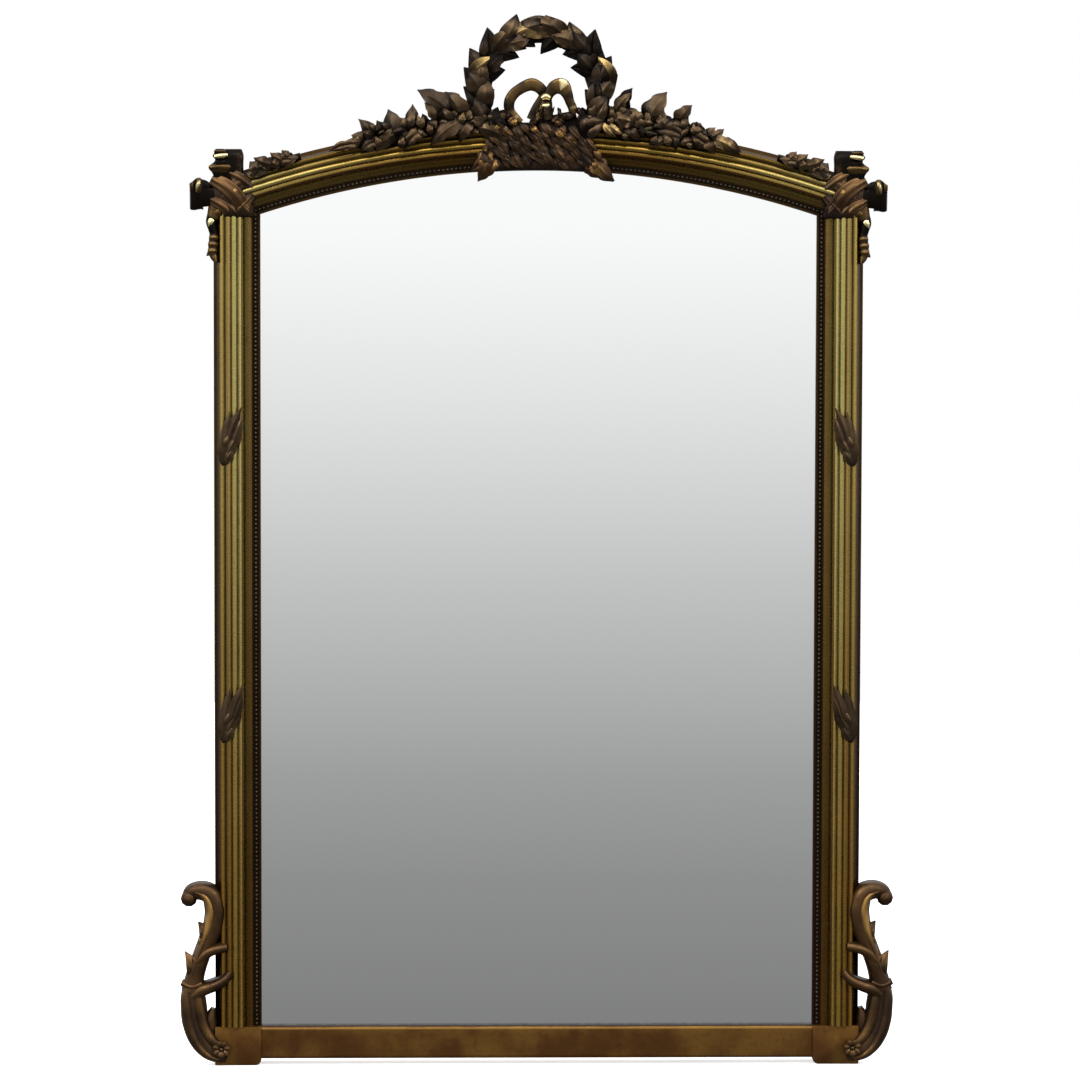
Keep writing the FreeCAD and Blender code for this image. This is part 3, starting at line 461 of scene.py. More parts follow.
def from_tree(name, source, tree, sizes):
    """The result of a node tree on a source mesh, as a plain mesh object."""
    bpy.context.scene.collection.objects.link(source)
    modifier = source.modifiers.new("made", "NODES")
    modifier.node_group = tree
    for item in tree.interface.items_tree:
        if item.item_type == "SOCKET" and item.in_out == "INPUT" and item.name in sizes:
            modifier[item.identifier] = sizes[item.name]
    bpy.context.view_layer.update()
    graph = bpy.context.evaluated_depsgraph_get()
    mesh = bpy.data.meshes.new_from_object(source.evaluated_get(graph))
    source.modifiers.remove(modifier)
    bpy.data.objects.remove(source)
    mesh.name = name
    return mesh


def bead_line(kind):
    """The middle line of a bead string, at the height of the floor of the channel."""
    if kind == "arch":
        radius = sight_radius + channel_middle
        reach = mitre_angle(radius)
        return [(radius * math.sin(a), -channel_floor, arch_centre + radius * math.cos(a))
                for a in np.linspace(-reach, reach, 120)]
    side = -1 if kind == "left" else 1
    top = sight_spring + mitre_slope * channel_middle
    return [(side * (sight_half + channel_middle), -channel_floor, z)
            for z in np.linspace(sight_bottom + bead_radius, top, 4)]


def bead_bed(line):
    """Flat bed under the pearls, 8 mm wide and a trace proud of the channel's floor."""
    outline = [(-0.004, 0.0), (-0.0036, bed_height), (0.0036, bed_height), (0.004, 0.0)]
    points, faces = [], []
    for i, here in enumerate(line):
        ahead = Vector(line[min(i + 1, len(line) - 1)]) - Vector(line[max(i - 1, 0)])
        side = ahead.cross(Vector((0, -1, 0))).normalized()
        points += [Vector(here) + side * s + Vector((0, 0.0002 - h, 0)) for s, h in outline]
    for i in range(len(line) - 1):
        for c in range(4):
            d = (c + 1) % 4
            faces.append((4 * i + c, 4 * i + d, 4 * i + 4 + d, 4 * i + 4 + c))
    faces += [(0, 1, 2, 3), tuple(4 * len(line) - 1 - c for c in range(4))]
    return points, faces


def set_hollow(piece, rule):
    """Tells every point of a piece how hollow it lies, by a rule on its place."""
    hollow = piece.data.attributes.new("hollow", "FLOAT", "POINT")
    hollow.data.foreach_set("value", [rule(v.co) for v in piece.data.vertices])


pearls = bead_tree()
for kind in ("left", "right", "arch"):
    line = bead_line(kind)
    thread = bpy.data.meshes.new("bead line")
    thread.from_pydata(line, [(i, i + 1) for i in range(len(line) - 1)], [])
    beads = from_tree("beads_" + kind, bpy.data.objects.new("bead line", thread), pearls,
                      {"Finish": bead_gilding})
    work = bmesh.new()
    work.from_mesh(beads)
    points, faces = bead_bed(line)
    corners = [work.verts.new(p) for p in points]
    for face in faces:
        work.faces.new([corners[i] for i in face])
    work.to_mesh(beads)
    work.free()
    string = finished("beads_" + kind, beads, 60)
    # Crowns pale as rubbed gold and painted highlight, lower sides dark as painted shade.
    set_hollow(string, lambda p: min(1.0, max(0.15, 0.95 - (dark_below - p.y) / crown_height)))
    seat(string, bead_gilding, "frame", "gilt_beads", "bead_strip_" + kind)

# ---------------------------------------------------------------- foot of the frame
# A plain lower rail between two corner blocks that stand on the shelf. Gilded like the rest but
# worn by dusting, so the brown bole shows in long patches; its top edge is painted dark against the
# glass as shade, with a pale line painted just below it as a highlight.

foot_gilding = water_gilding("Water gilding on foot worn", "8A6A34", "765526", "57381A", "1C1108", 0.42)


def bevelled(name, node, width):
    """A CAD node's own shape with its edges eased by width, as sanding leaves them."""
    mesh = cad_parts[node].data.copy()
    work = bmesh.new()
    work.from_mesh(mesh)
    bmesh.ops.remove_doubles(work, verts=work.verts, dist=1e-5)
    bmesh.ops.dissolve_limit(work, angle_limit=0.02, verts=work.verts, edges=work.edges)
    sharp = [e for e in work.edges if len(e.link_faces) == 2 and e.calc_face_angle() > 0.4]
    bmesh.ops.bevel(work, geom=sharp, offset=width, segments=2, affect="EDGES", profile=0.6)
    work.to_mesh(mesh)
    work.free()
    for extra in list(mesh.attributes):
        if extra.name.startswith(("custom_normal", "UV")):
            mesh.attributes.remove(extra)
    return finished(name, mesh, 35)


for side in ("left", "right"):
    block = bevelled("foot_block_" + side, "base_block_" + side, 0.0012)
    set_hollow(block, lambda p: 0.4)
    seat(block, foot_gilding, "frame", "gilt_foot", "base_block_" + side)
# Up the rail and forward of the carcass in mm, and how hollow each place lies: the top and bottom
# edges are painted dark as shade and the pale line just under the top is a painted highlight.
rail_section = [(0, 0, 1), (0, 13, 0.8), (0.8, 15.2, 0.5), (2.6, 16, 0.4), (6, 16, 0.4), (15, 16, 0.4),
                (27, 16, 0.4), (40, 16, 0.4), (48, 16, 0.3), (50.8, 15.8, 0.0), (52.4, 14.8, 0.5),
                (53.8, 12.8, 0.9), (54.5, 10.5, 1), (54.5, 0, 1)]
rail_bottom, rail_wave = 0.010, 0.0002
rail_rows = []
for x in np.linspace(-sight_half, sight_half, 90):

    def place(u, h, x=x):
        wave = rail_wave * math.sin(7 * x) if h > wavy_above else 0
        return (x, -(carcass_depth + h + wave), rail_bottom + u)

    rail_rows.append(place)
rail = swept("foot_rail", [(u / 1000, h / 1000, hollow) for u, h, hollow in rail_section], rail_rows)
seat(rail, foot_gilding, "frame", "gilt_foot", "base_rail")

# ---------------------------------------------------------------- laurel wreath
# The crest: laurel leaves bound in a ring and tied at the foot, limewood carved in the round,
# bronzed nearly black, its stem and inner leaves painted darker as shade, and three leaves that
# stand proud painted pale toward their tips as highlights, with the gold rubbed back there.

bronzed = water_gilding("Bronzed gilding on foliage", "A88C58", "4E3E2B", "2E2419", "0A0604", 0.36,
                        proud=(0.0, 0.2), reach=(0.38, 0.66), soot=0.24)


def path(points, count):
    """count rows evenly spaced on a smooth curve through the points, whatever else they hold."""
    points = np.array(points, float)
    steps = np.maximum(np.linalg.norm(np.diff(points[:, :2], axis=0), axis=1), 1e-6)
    at = np.concatenate([[0], np.cumsum(steps)])
    slopes = np.gradient(points, at, axis=0)
    wanted = np.linspace(0, at[-1], count)
    i = np.clip(np.searchsorted(at, wanted, side="right") - 1, 0, len(at) - 2)
    h = (at[i + 1] - at[i])[:, None]
    t = (wanted - at[i])[:, None] / h
    return ((2 * t ** 3 - 3 * t ** 2 + 1) * points[i] + (t ** 3 - 2 * t ** 2 + t) * h * slopes[i]
            + (3 * t ** 2 - 2 * t ** 3) * points[i + 1] + (t ** 3 - t ** 2) * h * slopes[i + 1])


def skin(carving, rows, dirt_and_painted_light=0.0):
    """Adds a closed form: every row is a closed ring of points. The last argument above 0 paints it
    darker, as dirt and painted shade, and below 0 paints it brighter, as rubbed gold and painted
    highlight, as one value or one for each row."""
    points, faces, dirt_and_painted_light_by_point = carving
    start, (count, ring) = len(points), rows.shape[:2]
    points.extend(map(tuple, rows.reshape(-1, 3)))
    dirt_and_painted_light_by_point.extend(np.repeat(np.broadcast_to(dirt_and_painted_light, count), ring))
    for r in range(count - 1):
        a, b = start + r * ring, start + (r + 1) * ring
        for c in range(ring):
            d = (c + 1) % ring
            faces.append((a + c, a + d, b + d, b + c))
    faces.append(tuple(start + c for c in range(ring)))
    faces.append(tuple(start + (count - 1) * ring + c for c in reversed(range(ring))))


def lay(carving, middle, side, across, forward, dirt_and_painted_light):
    """Adds rows built on a middle line: across to its side and forward of the wall, all in mm."""
    x = middle[:, 0:1] + side[:, 0:1] * across
    z = middle[:, 1:2] + side[:, 1:2] * across
    skin(carving, np.stack([x, -forward, z], axis=2) / 1000, dirt_and_painted_light)


def leaf(carving, base, tip, width, depths, bend=0.0, tilt=0.0, keel=1.0, teeth=0, body=7.0, dirt_and_painted_light=0.0):
    """Leaf from base to tip, (x, z) in mm. depths: how far forward its base, middle and tip lie.
    keel above 0 gives it a ridge with hollow flanks, below 0 a groove between two swellings."""
    base, tip = np.array(base, float), np.array(tip, float)
    length = np.linalg.norm(tip - base)
    ahead = (tip - base) / length
    beside = np.array([ahead[1], -ahead[0]])
    t = np.linspace(0, 1, 15)[:, None]
    middle = base + (tip - base) * t + beside * bend * length * np.sin(math.pi * t)
    turn = ahead + beside * bend * math.pi * np.cos(math.pi * t)
    turn /= np.linalg.norm(turn, axis=1)[:, None]
    side = np.stack([turn[:, 1], -turn[:, 0]], axis=1)
    swell_along = np.sin(math.pi * t ** 0.85) ** 0.85
    half = width / 2 * np.maximum(0.32 * (1 - t) ** 2 + swell_along, 0.04)
    if teeth:
        half = half * (0.82 + 0.34 * np.abs(np.sin((teeth * t + 0.15) * math.pi)) ** 0.8)
    v = np.array([-1, -0.84, -0.56, -0.28, -0.08, 0, 0.08, 0.28, 0.56, 0.84, 1, 0.7, 0, -0.7])[None, :]
    off = np.abs(v)
    front = (np.arange(14) < 11)[None, :]
    d0, d1, d2 = depths
    depth = d0 * (2 * t * t - 3 * t + 1) + d1 * (4 * t - 4 * t * t) + d2 * (2 * t * t - t)
    if keel > 0:
        crown = 0.19 * (1 - off) ** 0.85 + 0.035 * off ** 4 + 0.05 * keel * np.exp(-(off / 0.12) ** 2) * (1 - t)
    else:
        crown = (0.17 * np.sin(math.pi * np.clip(0.1 + 0.86 * off, 0, 1))
                 + 0.02 * keel * np.exp(-(off / 0.12) ** 2))
    veins = 0.04 * np.sin((3.4 * t - 1.1 * off) * 2 * math.pi) * off
    rise = np.where(front, (crown + veins) * width * swell_along,
                    -body * (0.35 + 0.65 * swell_along) * (1 - 0.35 * off))
    lay(carving, middle, side, half * v, depth + rise + tilt * half * v, dirt_and_painted_light)


def off_edge(v):
    """Nought over most of a limb's width, rising to one at its sides."""
    return np.abs(v) ** 6


def limb(carving, rows, count, ribs=0, cup=0.0, edge=0.3, dirt_and_painted_light=0.0):
    """Stem or ribbon through rows of (x, z, depth of its back, width, thickness), all in mm, with a
    sixth value where a row is painted darker, as shade, or brighter, as a highlight, than the rest.
    edge is the share of the thickness that its sides have, cup hollows its face, ribs divide it."""
    rows = path(rows, count)
    if rows.shape[1] > 5:
        dirt_and_painted_light = dirt_and_painted_light + rows[:, 5]
    turn = np.gradient(rows[:, :2], axis=0)
    turn /= np.linalg.norm(turn, axis=1)[:, None]
    side = np.stack([turn[:, 1], -turn[:, 0]], axis=1)
    v = np.concatenate([[-1, -0.97], np.linspace(-0.86, 0.86, 11), [0.97, 1], [0.75, 0, -0.75]])[None, :]
    front = (np.arange(18) < 15)[None, :]
    dome = np.sqrt(np.clip(1 - v * v, 0, 1)) - cup * (1 - v * v)
    if ribs:
        dome = dome - 0.16 * (1 - np.cos(v * ribs * math.pi)) * (1 - off_edge(v))
    rise = np.where(front, rows[:, 4:5] * (edge + (1 - edge) * dome) * (np.abs(v) < 1), 0.0)
    lay(carving, rows, side, rows[:, 3:4] / 2 * v, rows[:, 2:3] + rise, dirt_and_painted_light)


def pearl(carving, place, radius, depth, squash=1.0, dirt_and_painted_light=0.0):
    """Round berry or boss at (x, z), its middle at the given depth."""
    a = np.linspace(0, 2 * math.pi, 11)[:-1][None, :]
    b = np.linspace(0.06, math.pi - 0.06, 7)[:, None]
    x = place[0] + radius * np.sin(b) * np.cos(a)
    z = place[1] + radius * np.sin(b) * np.sin(a)
    y = -(depth + radius * squash * np.cos(b)) + 0 * a
    skin(carving, np.stack([x, y, z], axis=2) / 1000, dirt_and_painted_light)


def carved(name, carving, material, slot, *nodes):
    """Turns a carving into a dressed piece; each point learns how deep it lies among its neighbours,
    which paints its recesses dark, as dirt and painted shade, and its proud places pale, as rubbed
    gold and painted highlight; the values each form was given are added on.
    """
    points, faces, dirt_and_painted_light_by_point = carving
    mesh = bpy.data.meshes.new(name)
    mesh.from_pydata(points, [], faces)
    piece = finished(name, mesh, 62)
    place = np.array(points)
    cell, reach = 0.002, 3  # metres a cell of the height map, and cells that count as neighbours
    spot = ((place[:, [0, 2]] - place[:, [0, 2]].min(0)) / cell).astype(int) + 2 * reach
    size = spot.max(0) + 2 * reach + 1
    top = np.full(size, -1.0)
    np.maximum.at(top, tuple(spot.T), -place[:, 1])
    known = (top > -1).astype(float)
    total = top * known
    for _ in range(2):
        for axis in (0, 1):
            known = sum(np.roll(known, k, axis) for k in range(-reach, reach + 1))
            total = sum(np.roll(total, k, axis) for k in range(-reach, reach + 1))
    around_it = (total / np.maximum(known, 1e-9))[tuple(spot.T)]
    # Depth among neighbours sets painted shade in the recesses and painted highlight on what stands proud.
    depth = np.clip(0.4 + 0.32 * np.tanh((around_it + place[:, 1]) / 0.009) + np.array(dirt_and_painted_light_by_point), 0, 1)
    piece.data.attributes.new("hollow", "FLOAT", "POINT").data.foreach_set("value", depth)
    return seat(piece, material, "frame", slot, *nodes)


wreath_middle, wreath_radius, wreath_inner_edge = 1620.0, 101.0, 89


def ringed(radius, degrees):
    """Place on the wreath: degrees clockwise from its top."""
    angle = math.radians(degrees)
    return (radius * math.sin(angle), wreath_middle + radius * math.cos(angle))


# Where the leaf tips reach that make its outline, as (degrees clockwise from the top, radius).
wreath_outer_tips = [
    (-103, 119), (-87, 126), (-73, 131), (-59, 135), (-40, 135), (-17, 131), (4, 124),
    (23, 123), (42, 136), (54, 124), (64, 131), (78, 131), (94, 116), (114, 122), (-120, 120),
]
wreath_inner_tips = [
    (-111, 74), (-88, 75), (-73, 80), (-59, 66), (-44, 75), (-32, 64), (-18, 72), (-6, 72), (1, 60), (16, 77),
    (32, 70), (53, 63), (72, 77), (88, 74), (111, 74),
]

wreath = ([], [], [])
chance = random.Random(4)
stem_rows = [(*ringed(wreath_radius - 1, a), 43, 31 + 3 * math.sin(a / 9), 22) for a in range(-140, 141, 10)]
# The stem and the ring at the inner edge lie dark under the leaves: painted shade.
limb(wreath, stem_rows, 90, edge=0.5, dirt_and_painted_light=0.5)
limb(wreath, [(*ringed(wreath_inner_edge, a), 52, 20, 14) for a in range(-64, 65, 8)], 50, edge=0.5, dirt_and_painted_light=0.6)
for angle, reach in wreath_outer_tips:
    sweep = 25 if angle > 0 else -25
    leaf(wreath, ringed(wreath_radius - 4, angle + sweep), ringed(reach, angle), 31,
         (64, 74 + chance.uniform(-3, 4), 68), bend=0.07 * (-1 if sweep > 0 else 1),
         tilt=chance.uniform(-0.3, 0.3), keel=chance.choice((1, 1, -1)), body=12,
         dirt_and_painted_light=chance.uniform(0.1, 0.42))
# The inner leaves are painted darker than the outer ones, as shade.
for angle, reach in wreath_inner_tips:
    sweep = 22 if angle > 0 else -22
    leaf(wreath, ringed(wreath_radius + 4, angle + sweep), ringed(reach, angle), 27,
         (62, 72 + chance.uniform(-3, 3), 68), bend=0.06 * (1 if sweep > 0 else -1),
         tilt=chance.uniform(-0.3, 0.3), keel=chance.choice((1, 1, -1)), body=12,
         dirt_and_painted_light=chance.uniform(0.35, 0.6))
for side in (-1, 1):
    for step in range(8):
        start = side * (141 - 17 * step)
        across = 8 if step % 2 else -7
        leaf(wreath, ringed(wreath_radius + across * 0.3, start),
             ringed(wreath_radius + across * 1.5 + chance.uniform(-4, 4), start - side * 29), 27,
             (65, 78 + chance.uniform(-3, 1), 74), bend=chance.uniform(-0.06, 0.06),
             tilt=chance.uniform(-0.35, 0.35), keel=chance.choice((1, 1, -1)),
             dirt_and_painted_light=chance.uniform(0.1, 0.42) + 0.1 * (step < 3))
        if step % 3 == 1:
            pearl(wreath, ringed(wreath_radius - across, start - side * 6), 5, 76)
# The top leaf and one leaf at each side are painted brighter toward their tips as highlights.
leaf(wreath, (28, wreath_middle + 101), (-48, wreath_middle + 90), 35, (68, 75, 74), bend=0.1, tilt=-0.2,
     keel=0.6, dirt_and_painted_light=np.linspace(0.12, -0.2, 15))
for base, tip, turn in ((ringed(116, -80), ringed(95, -55), -1), (ringed(120, 86), ringed(110, 60), 1)):
    leaf(wreath, base, tip, 24, (71, 78, 75), bend=0.06 * turn, tilt=0.3 * turn,
         dirt_and_painted_light=np.linspace(0.0, -0.3, 15))
carved("wreath_of_laurel", wreath, bronzed, "gilt_carving", "laurel_wreath")

# ---------------------------------------------------------------- ribbon bow
# Two loops, a knot and two tails of carved ribbon, which stand on the leaves inside the wreath. The
# loops are open; the knot, the right loop's turn and the feet are painted the brightest gold of the
# crest, as highlights.

ribbon_gilding = water_gilding("Water gilding on ribbons", "D8C894", "604A28", "3A2A17", "0B0704", 0.32,
                               proud=(0.0, 0.22), reach=(0.42, 0.72), soot=0.2)
bow_foot = arch_top * 1000 + 4.6
bow = ([], [], [])
# Rows of (x, z, width, how dull: above 0 painted shade, below 0 painted highlight).
left_loop = [(9, 1615, 18, 0.3), (-1, 1626, 19, 0.15), (-13, 1631, 21, -0.18), (-24, 1628, 19, 0.18),
             (-33, 1623, 18, 0.12), (-41, 1617, 18, -0.12), (-50, 1602, 18, 0.24), (-49, 1587, 17, 0.24),
             (-39, 1575, 15, -0.25), (-31, 1568, 12, 0.2)]
right_loop = [(11, 1606, 16, 0.1), (17, 1618, 18, 0.2), (25, 1626, 24, 0.16), (36, 1628, 27, -0.36),
              (45, 1616, 19, 0.2), (50, 1602, 15, 0.1), (54, 1593, 15, -0.25), (56, 1583, 15, 0.1)]
left_tail = [(8, 1614, 16, 0.1), (4, 1605, 18, 0.1), (-4, 1592, 18, 0.2), (-9, 1582, 18, 0.25),
             (-13, bow_foot, 18, 0.2)]
right_tail = [(10, 1613, 18, 0.1), (11, 1600, 20, 0.1), (12, 1586, 20, 0.15), (14, bow_foot, 20, 0.2)]
for line, lift in ((left_tail, 51), (right_tail, 52), (left_loop, 53), (right_loop, 54)):
    rows = [(x, z, lift, width, 14, shade) for x, z, width, shade in line]
    limb(bow, rows, 40, cup=0.3, edge=0.5, dirt_and_painted_light=0.02)
limb(bow, [(9, 1601, 56, 16, 10), (2, 1586, 57, 13, 8), (-3, bow_foot, 56, 16, 8)], 20, edge=0.4, dirt_and_painted_light=0.1)
limb(bow, [(20, 1573, 54, 14, 12), (40, 1577, 55, 16, 13), (60, 1582, 54, 12, 12)], 16, edge=0.5, dirt_and_painted_light=0.3)
# The knot's two bright spots are painted highlights.
limb(bow, [(3, 1608, 57, 9, 14), (10, 1611, 58, 12, 14), (17, 1608, 57, 9, 14)], 12, edge=0.4, dirt_and_painted_light=-0.5)
limb(bow, [(4, 1596, 57, 8, 14), (10, 1595, 58, 11, 14), (16, 1597, 57, 8, 14)], 12, edge=0.4, dirt_and_painted_light=-0.4)
carved("bow_of_ribbon", bow, ribbon_gilding, "gilt_carving", "ribbon_bow")

# ---------------------------------------------------------------- centre cluster and drop leaves
# A sheaf of long leaves falls over the middle of the arch to the edge of the glass, with a few
# leaves hanging at either side. Carved in limewood, brown, with the gold worn to thin streaks; dark
# under and between the leaves as painted shade, and bright only on a few half-open buds and leaf
# tips along its top as painted highlights.

streaked = water_gilding("Gilding worn to brown", "A07A42", "5C442A", "3A2A1C", "0F0906", 0.38,
                         proud=(0.0, 0.26), reach=(0.46, 0.8), soot=0.25)


def on_arch(along, above):
    """Place in mm by its length along the top of the arch and its height over it."""
    angle = along / (outer_radius * 1000)
    radius = outer_radius * 1000 + above
    return (radius * math.sin(angle), arch_centre * 1000 + radius * math.cos(angle))


def fan(carving, place, size, depth, degrees):
    """Three small leaves spread from (x, z) toward the angle, as in a half-open bud, their tips painted bright
    as highlights and their bases painted dark as shade.
    """
    place = np.array(place, float)
    for turn, reach in ((-38, 0.8), (36, 0.9), (0, 1.15)):
        angle = math.radians(degrees + turn)
        ahead = np.array([math.sin(angle), math.cos(angle)])
        leaf(carving, place - ahead * size * 0.5, place + ahead * size * reach, size * 0.6,
             (depth - 2, depth + 4, depth - 1), keel=0.8, body=8, dirt_and_painted_light=np.linspace(0.25, -0.24, 15))


cluster_buds = [(-42, 1567, 15), (-70, 1559, 17), (33, 1548, 16), (29, 1566, 12), (48, 1540, 9), (-12, 1556, 9)]
# Leaves painted bright toward their tips as highlights: (base, tip, width).
highlit_leaves = [((25, 1556), (40, 1544), 10), ((37, 1557), (30, 1545), 9), ((-76, 1567), (-64, 1556), 11),
               ((-46, 1575), (-38, 1563), 9), ((-14, 1562), (-4, 1552), 8)]
cluster = ([], [], [])
chance = random.Random(21)
# Dark filling under the leaves, painted as shade.
limb(cluster, [(*on_arch(a, -32), 54, 66, 8) for a in (-86, -43, 0, 43, 86)], 24, edge=0.6, dirt_and_painted_light=0.35)
for reach in ((-88, -66, -46), (-6, 20, 52, 88)):
    limb(cluster, [(*on_arch(a, -8), 52, 36, 9) for a in reach], 16, edge=0.6, dirt_and_painted_light=0.4)
limb(cluster, [(*on_arch(a, -67), 46, 21, 18) for a in (-84, -42, 0, 42, 84)], 30, edge=0.7, dirt_and_painted_light=0.3)
# Each leaf is painted darker at its base, where it lies under the next, as shade.
for row in range(8):
    for along in np.arange(-92 + 3 * row, 93 - 3 * row, 10.5):
        x, up = along + chance.uniform(-5, 5), -52 + 10 * row + chance.uniform(-3, 3)
        slant = chance.uniform(4, 24) if row < 6 else chance.uniform(-14, 14)
        if row < 6:
            down = max(up - chance.uniform(20, 32), -76 + chance.uniform(0, 3))
        else:
            down = up + chance.uniform(-14, 6)
        layer = min(61 + 1.6 * row, 70) + chance.uniform(-1.5, 1.5)
        if row > 5 and -44 < x < -10:
            continue
        leaf(cluster, on_arch(x - 4, up), on_arch(x + slant, down), chance.uniform(9, 13),
             (layer, layer + 4, layer - 2), bend=chance.uniform(-0.1, 0.16), tilt=chance.uniform(-0.2, 0.4),
             keel=chance.choice((1, 1, -0.6)), body=10,
             dirt_and_painted_light=np.linspace(0.4, chance.uniform(-0.15, 0.25) + (0.02 * (5 - row) if row < 6 else 0.15), 15))
for x, z, size in cluster_buds:
    fan(cluster, (x, z), size, 70, chance.uniform(-50, 50))
for base, tip, width in highlit_leaves:
    leaf(cluster, base, tip, width, (73, 78, 74), tilt=0.2, dirt_and_painted_light=np.linspace(0.1, -0.42, 15))
carved("sheaf_of_leaves", cluster, streaked, "gilt_carving", "centre_cluster")

# Each leaf: (along the arch, above it) of its base and of its tip, and its width.
drop_leaves = {
    "left": [((-80, -34), (-120, -76), 23), ((-84, -46), (-108, -92), 24), ((-80, -52), (-92, -86), 18)],
    "right": [((80, -34), (117, -76), 23), ((86, -44), (132, -90), 25), ((82, -56), (104, -86), 18)],
}
for side, layout in drop_leaves.items():
    drop = ([], [], [])
    for number, (base, tip, width) in enumerate(layout):
        turn = 1 if number % 2 else -1
        leaf(drop, on_arch(*base), on_arch(*tip), width, (57, 62 + 2 * number, 54),
             bend=-0.08 if side == "left" else 0.08, tilt=0.3 * turn, keel=turn, teeth=3, body=9, dirt_and_painted_light=-0.1)
    carved("hanging_leaves_" + side, drop, streaked, "gilt_carving", "drop_leaves_" + side)

# ---------------------------------------------------------------- sprays along the arch
# Two unequal sprays of broad leaves and half-open buds run out from the wreath along the top of the
# arch, carved in limewood and pinned to it. Dark bronze, the stem and the leaves' bases painted darker
# as shade, with the buds, a few tips and a few leaves painted pale as highlights.

# Each leaf: (along the arch, above it) of its base and of its tip, and its width.
spray_leaves = {
    "left": [
        ((-299, -8), (-352, -9), 15), ((-293, -15), (-317, 4), 12), ((-274, -18), (-294, 34), 21),
        ((-250, -19), (-244, 41), 33), ((-232, -12), (-204, 44), 26), ((-136, 14), (-194, 66), 30),
        ((-130, 1), (-151, 58), 33), ((-192, 3), (-230, -29), 20), ((-116, 12), (-184, -28), 26),
        ((-233, 2), (-275, -25), 20), ((-260, -7), (-302, -21), 16), ((-114, 10), (-134, -28), 22)],
    "right": [
        ((130, 12), (147, 65), 23), ((177, 2), (202, 65), 33), ((223, 8), (245, 50), 23),
        ((247, -1), (264, 23), 16), ((275, -8), (288, 20), 16), ((284, -3), (339, -12), 16),
        ((210, 2), (230, -29), 15), ((211, -6), (183, -25), 13), ((104, 1), (136, -20), 15),
        ((134, -3), (156, -21), 13), ((188, 2), (248, -9), 23), ((247, -1), (287, -19), 20),
        ((113, 12), (163, 5), 26), ((148, -13), (196, 8), 26)],
}
# Each bud: (along the arch, above it, its size).
spray_buds = {"left": [(-267, -12, 12), (-232, -20, 12), (-194, 8, 15), (-181, -4, 12), (-128, 8, 13),
                       (-100, 0, 12)],
              "right": [(99, 4, 9), (114, 5, 11), (137, 24, 11), (254, 6, 12), (252, -18, 9), (215, -18, 14),
                        (189, -20, 12), (143, -18, 9)]}
# Height of the outline over the arch, and where the stem starts and ends.
spray_height = {"left": [(-345, 0), (-300, 18), (-262, 28), (-225, 36), (-180, 52), (-118, 40)],
                "right": [(104, 38), (150, 40), (200, 44), (240, 34), (275, 22), (335, 2)]}
spray_stems = {"left": (-300, -100), "right": (290, 100)}
small_leaves = 46
for side, layout in spray_leaves.items():
    spray = ([], [], [])
    chance = random.Random(11 if side == "left" else 12)
    start, end = spray_stems[side]
    stem_rows = [(*on_arch(start + (end - start) * i / 6, 4 + 2 * math.sin(2 * i)), 34, 19, 24)
                 for i in range(7)]
    # The stem under the leaves is painted dark as shade.
    limb(spray, stem_rows, 40, ribs=2, edge=0.6, dirt_and_painted_light=0.5)
    for number, (base, tip, width) in enumerate(layout):
        upright = tip[1] > base[1] + 15
        leaf(spray, on_arch(*base), on_arch(*tip), width,
             (52, 62 + chance.uniform(0, 5), 56 + chance.uniform(-4, 8)) if upright else (61, 70, 61),
             bend=chance.uniform(0.04, 0.12) * (1 if side == "left" else -1), tilt=chance.uniform(-0.45, 0.45),
             keel=chance.choice((1, -1)), teeth=3 if width > 22 else 2, body=14 if upright else 8,
             dirt_and_painted_light=np.linspace(0.3, chance.uniform(-0.1, 0.15), 15) if upright else chance.uniform(-0.1, 0.2))
    outline = np.array(sorted(spray_height[side]), float)
    for number in range(small_leaves):
        along = start + (end - start) * (number + chance.uniform(0.1, 0.9)) / small_leaves
        tall = np.interp(along, outline[:, 0], outline[:, 1])
        up = chance.uniform(0.15, 0.8) * tall if number % 3 else chance.uniform(-24, -12)
        foot = on_arch(along + chance.uniform(-8, 8), up * 0.3 - 6 if up > 0 else 2)
        leaf(spray, foot, on_arch(along + chance.uniform(-24, 24), up + 6 if up > 0 else up),
             chance.uniform(12, 18), (57, 63 + number % 5 * 2, 60), bend=0.06, tilt=chance.uniform(-0.6, 0.6),
             keel=1, teeth=3, body=9, dirt_and_painted_light=np.linspace(0.3, chance.uniform(-0.25, 0.2), 15))
    # On the right a few leaves are painted bright as highlights.
    if side == "right":
        for shift in (0, 10):
            leaf(spray, on_arch(104 + shift, 2), on_arch(128 + shift, -19 + shift / 2), 10, (75, 77, 72),
                 bend=0.05, dirt_and_painted_light=-0.2)
        leaf(spray, on_arch(288, 2), on_arch(337, -16), 19, (66, 73, 60), bend=-0.05, teeth=3, dirt_and_painted_light=-0.16)
        leaf(spray, on_arch(121, 20), on_arch(145, 56), 15, (68, 73, 68), bend=-0.06, teeth=3, dirt_and_painted_light=-0.1)
    for along, above, size in spray_buds[side]:
        fan(spray, on_arch(along, above), size, 71, chance.uniform(-60, 60))
    carved("spray_of_leaves_" + side, spray, bronzed, "gilt_carving", "spray_" + side)

# ---------------------------------------------------------------- sprigs at the ends of the arch
# A few small leaves on a twig creep along the top of the arch from either knot. Carved and bronzed
# as the sprays are.

shoulder = outer_radius * 1000 * math.asin(outer_half / outer_radius)


def mirrored(carving):
    """The same forms on the other side of the middle."""
    points, faces, dirt_and_painted_light_by_point = carving
    return [(-x, y, z) for x, y, z in points], faces, dirt_and_painted_light_by_point


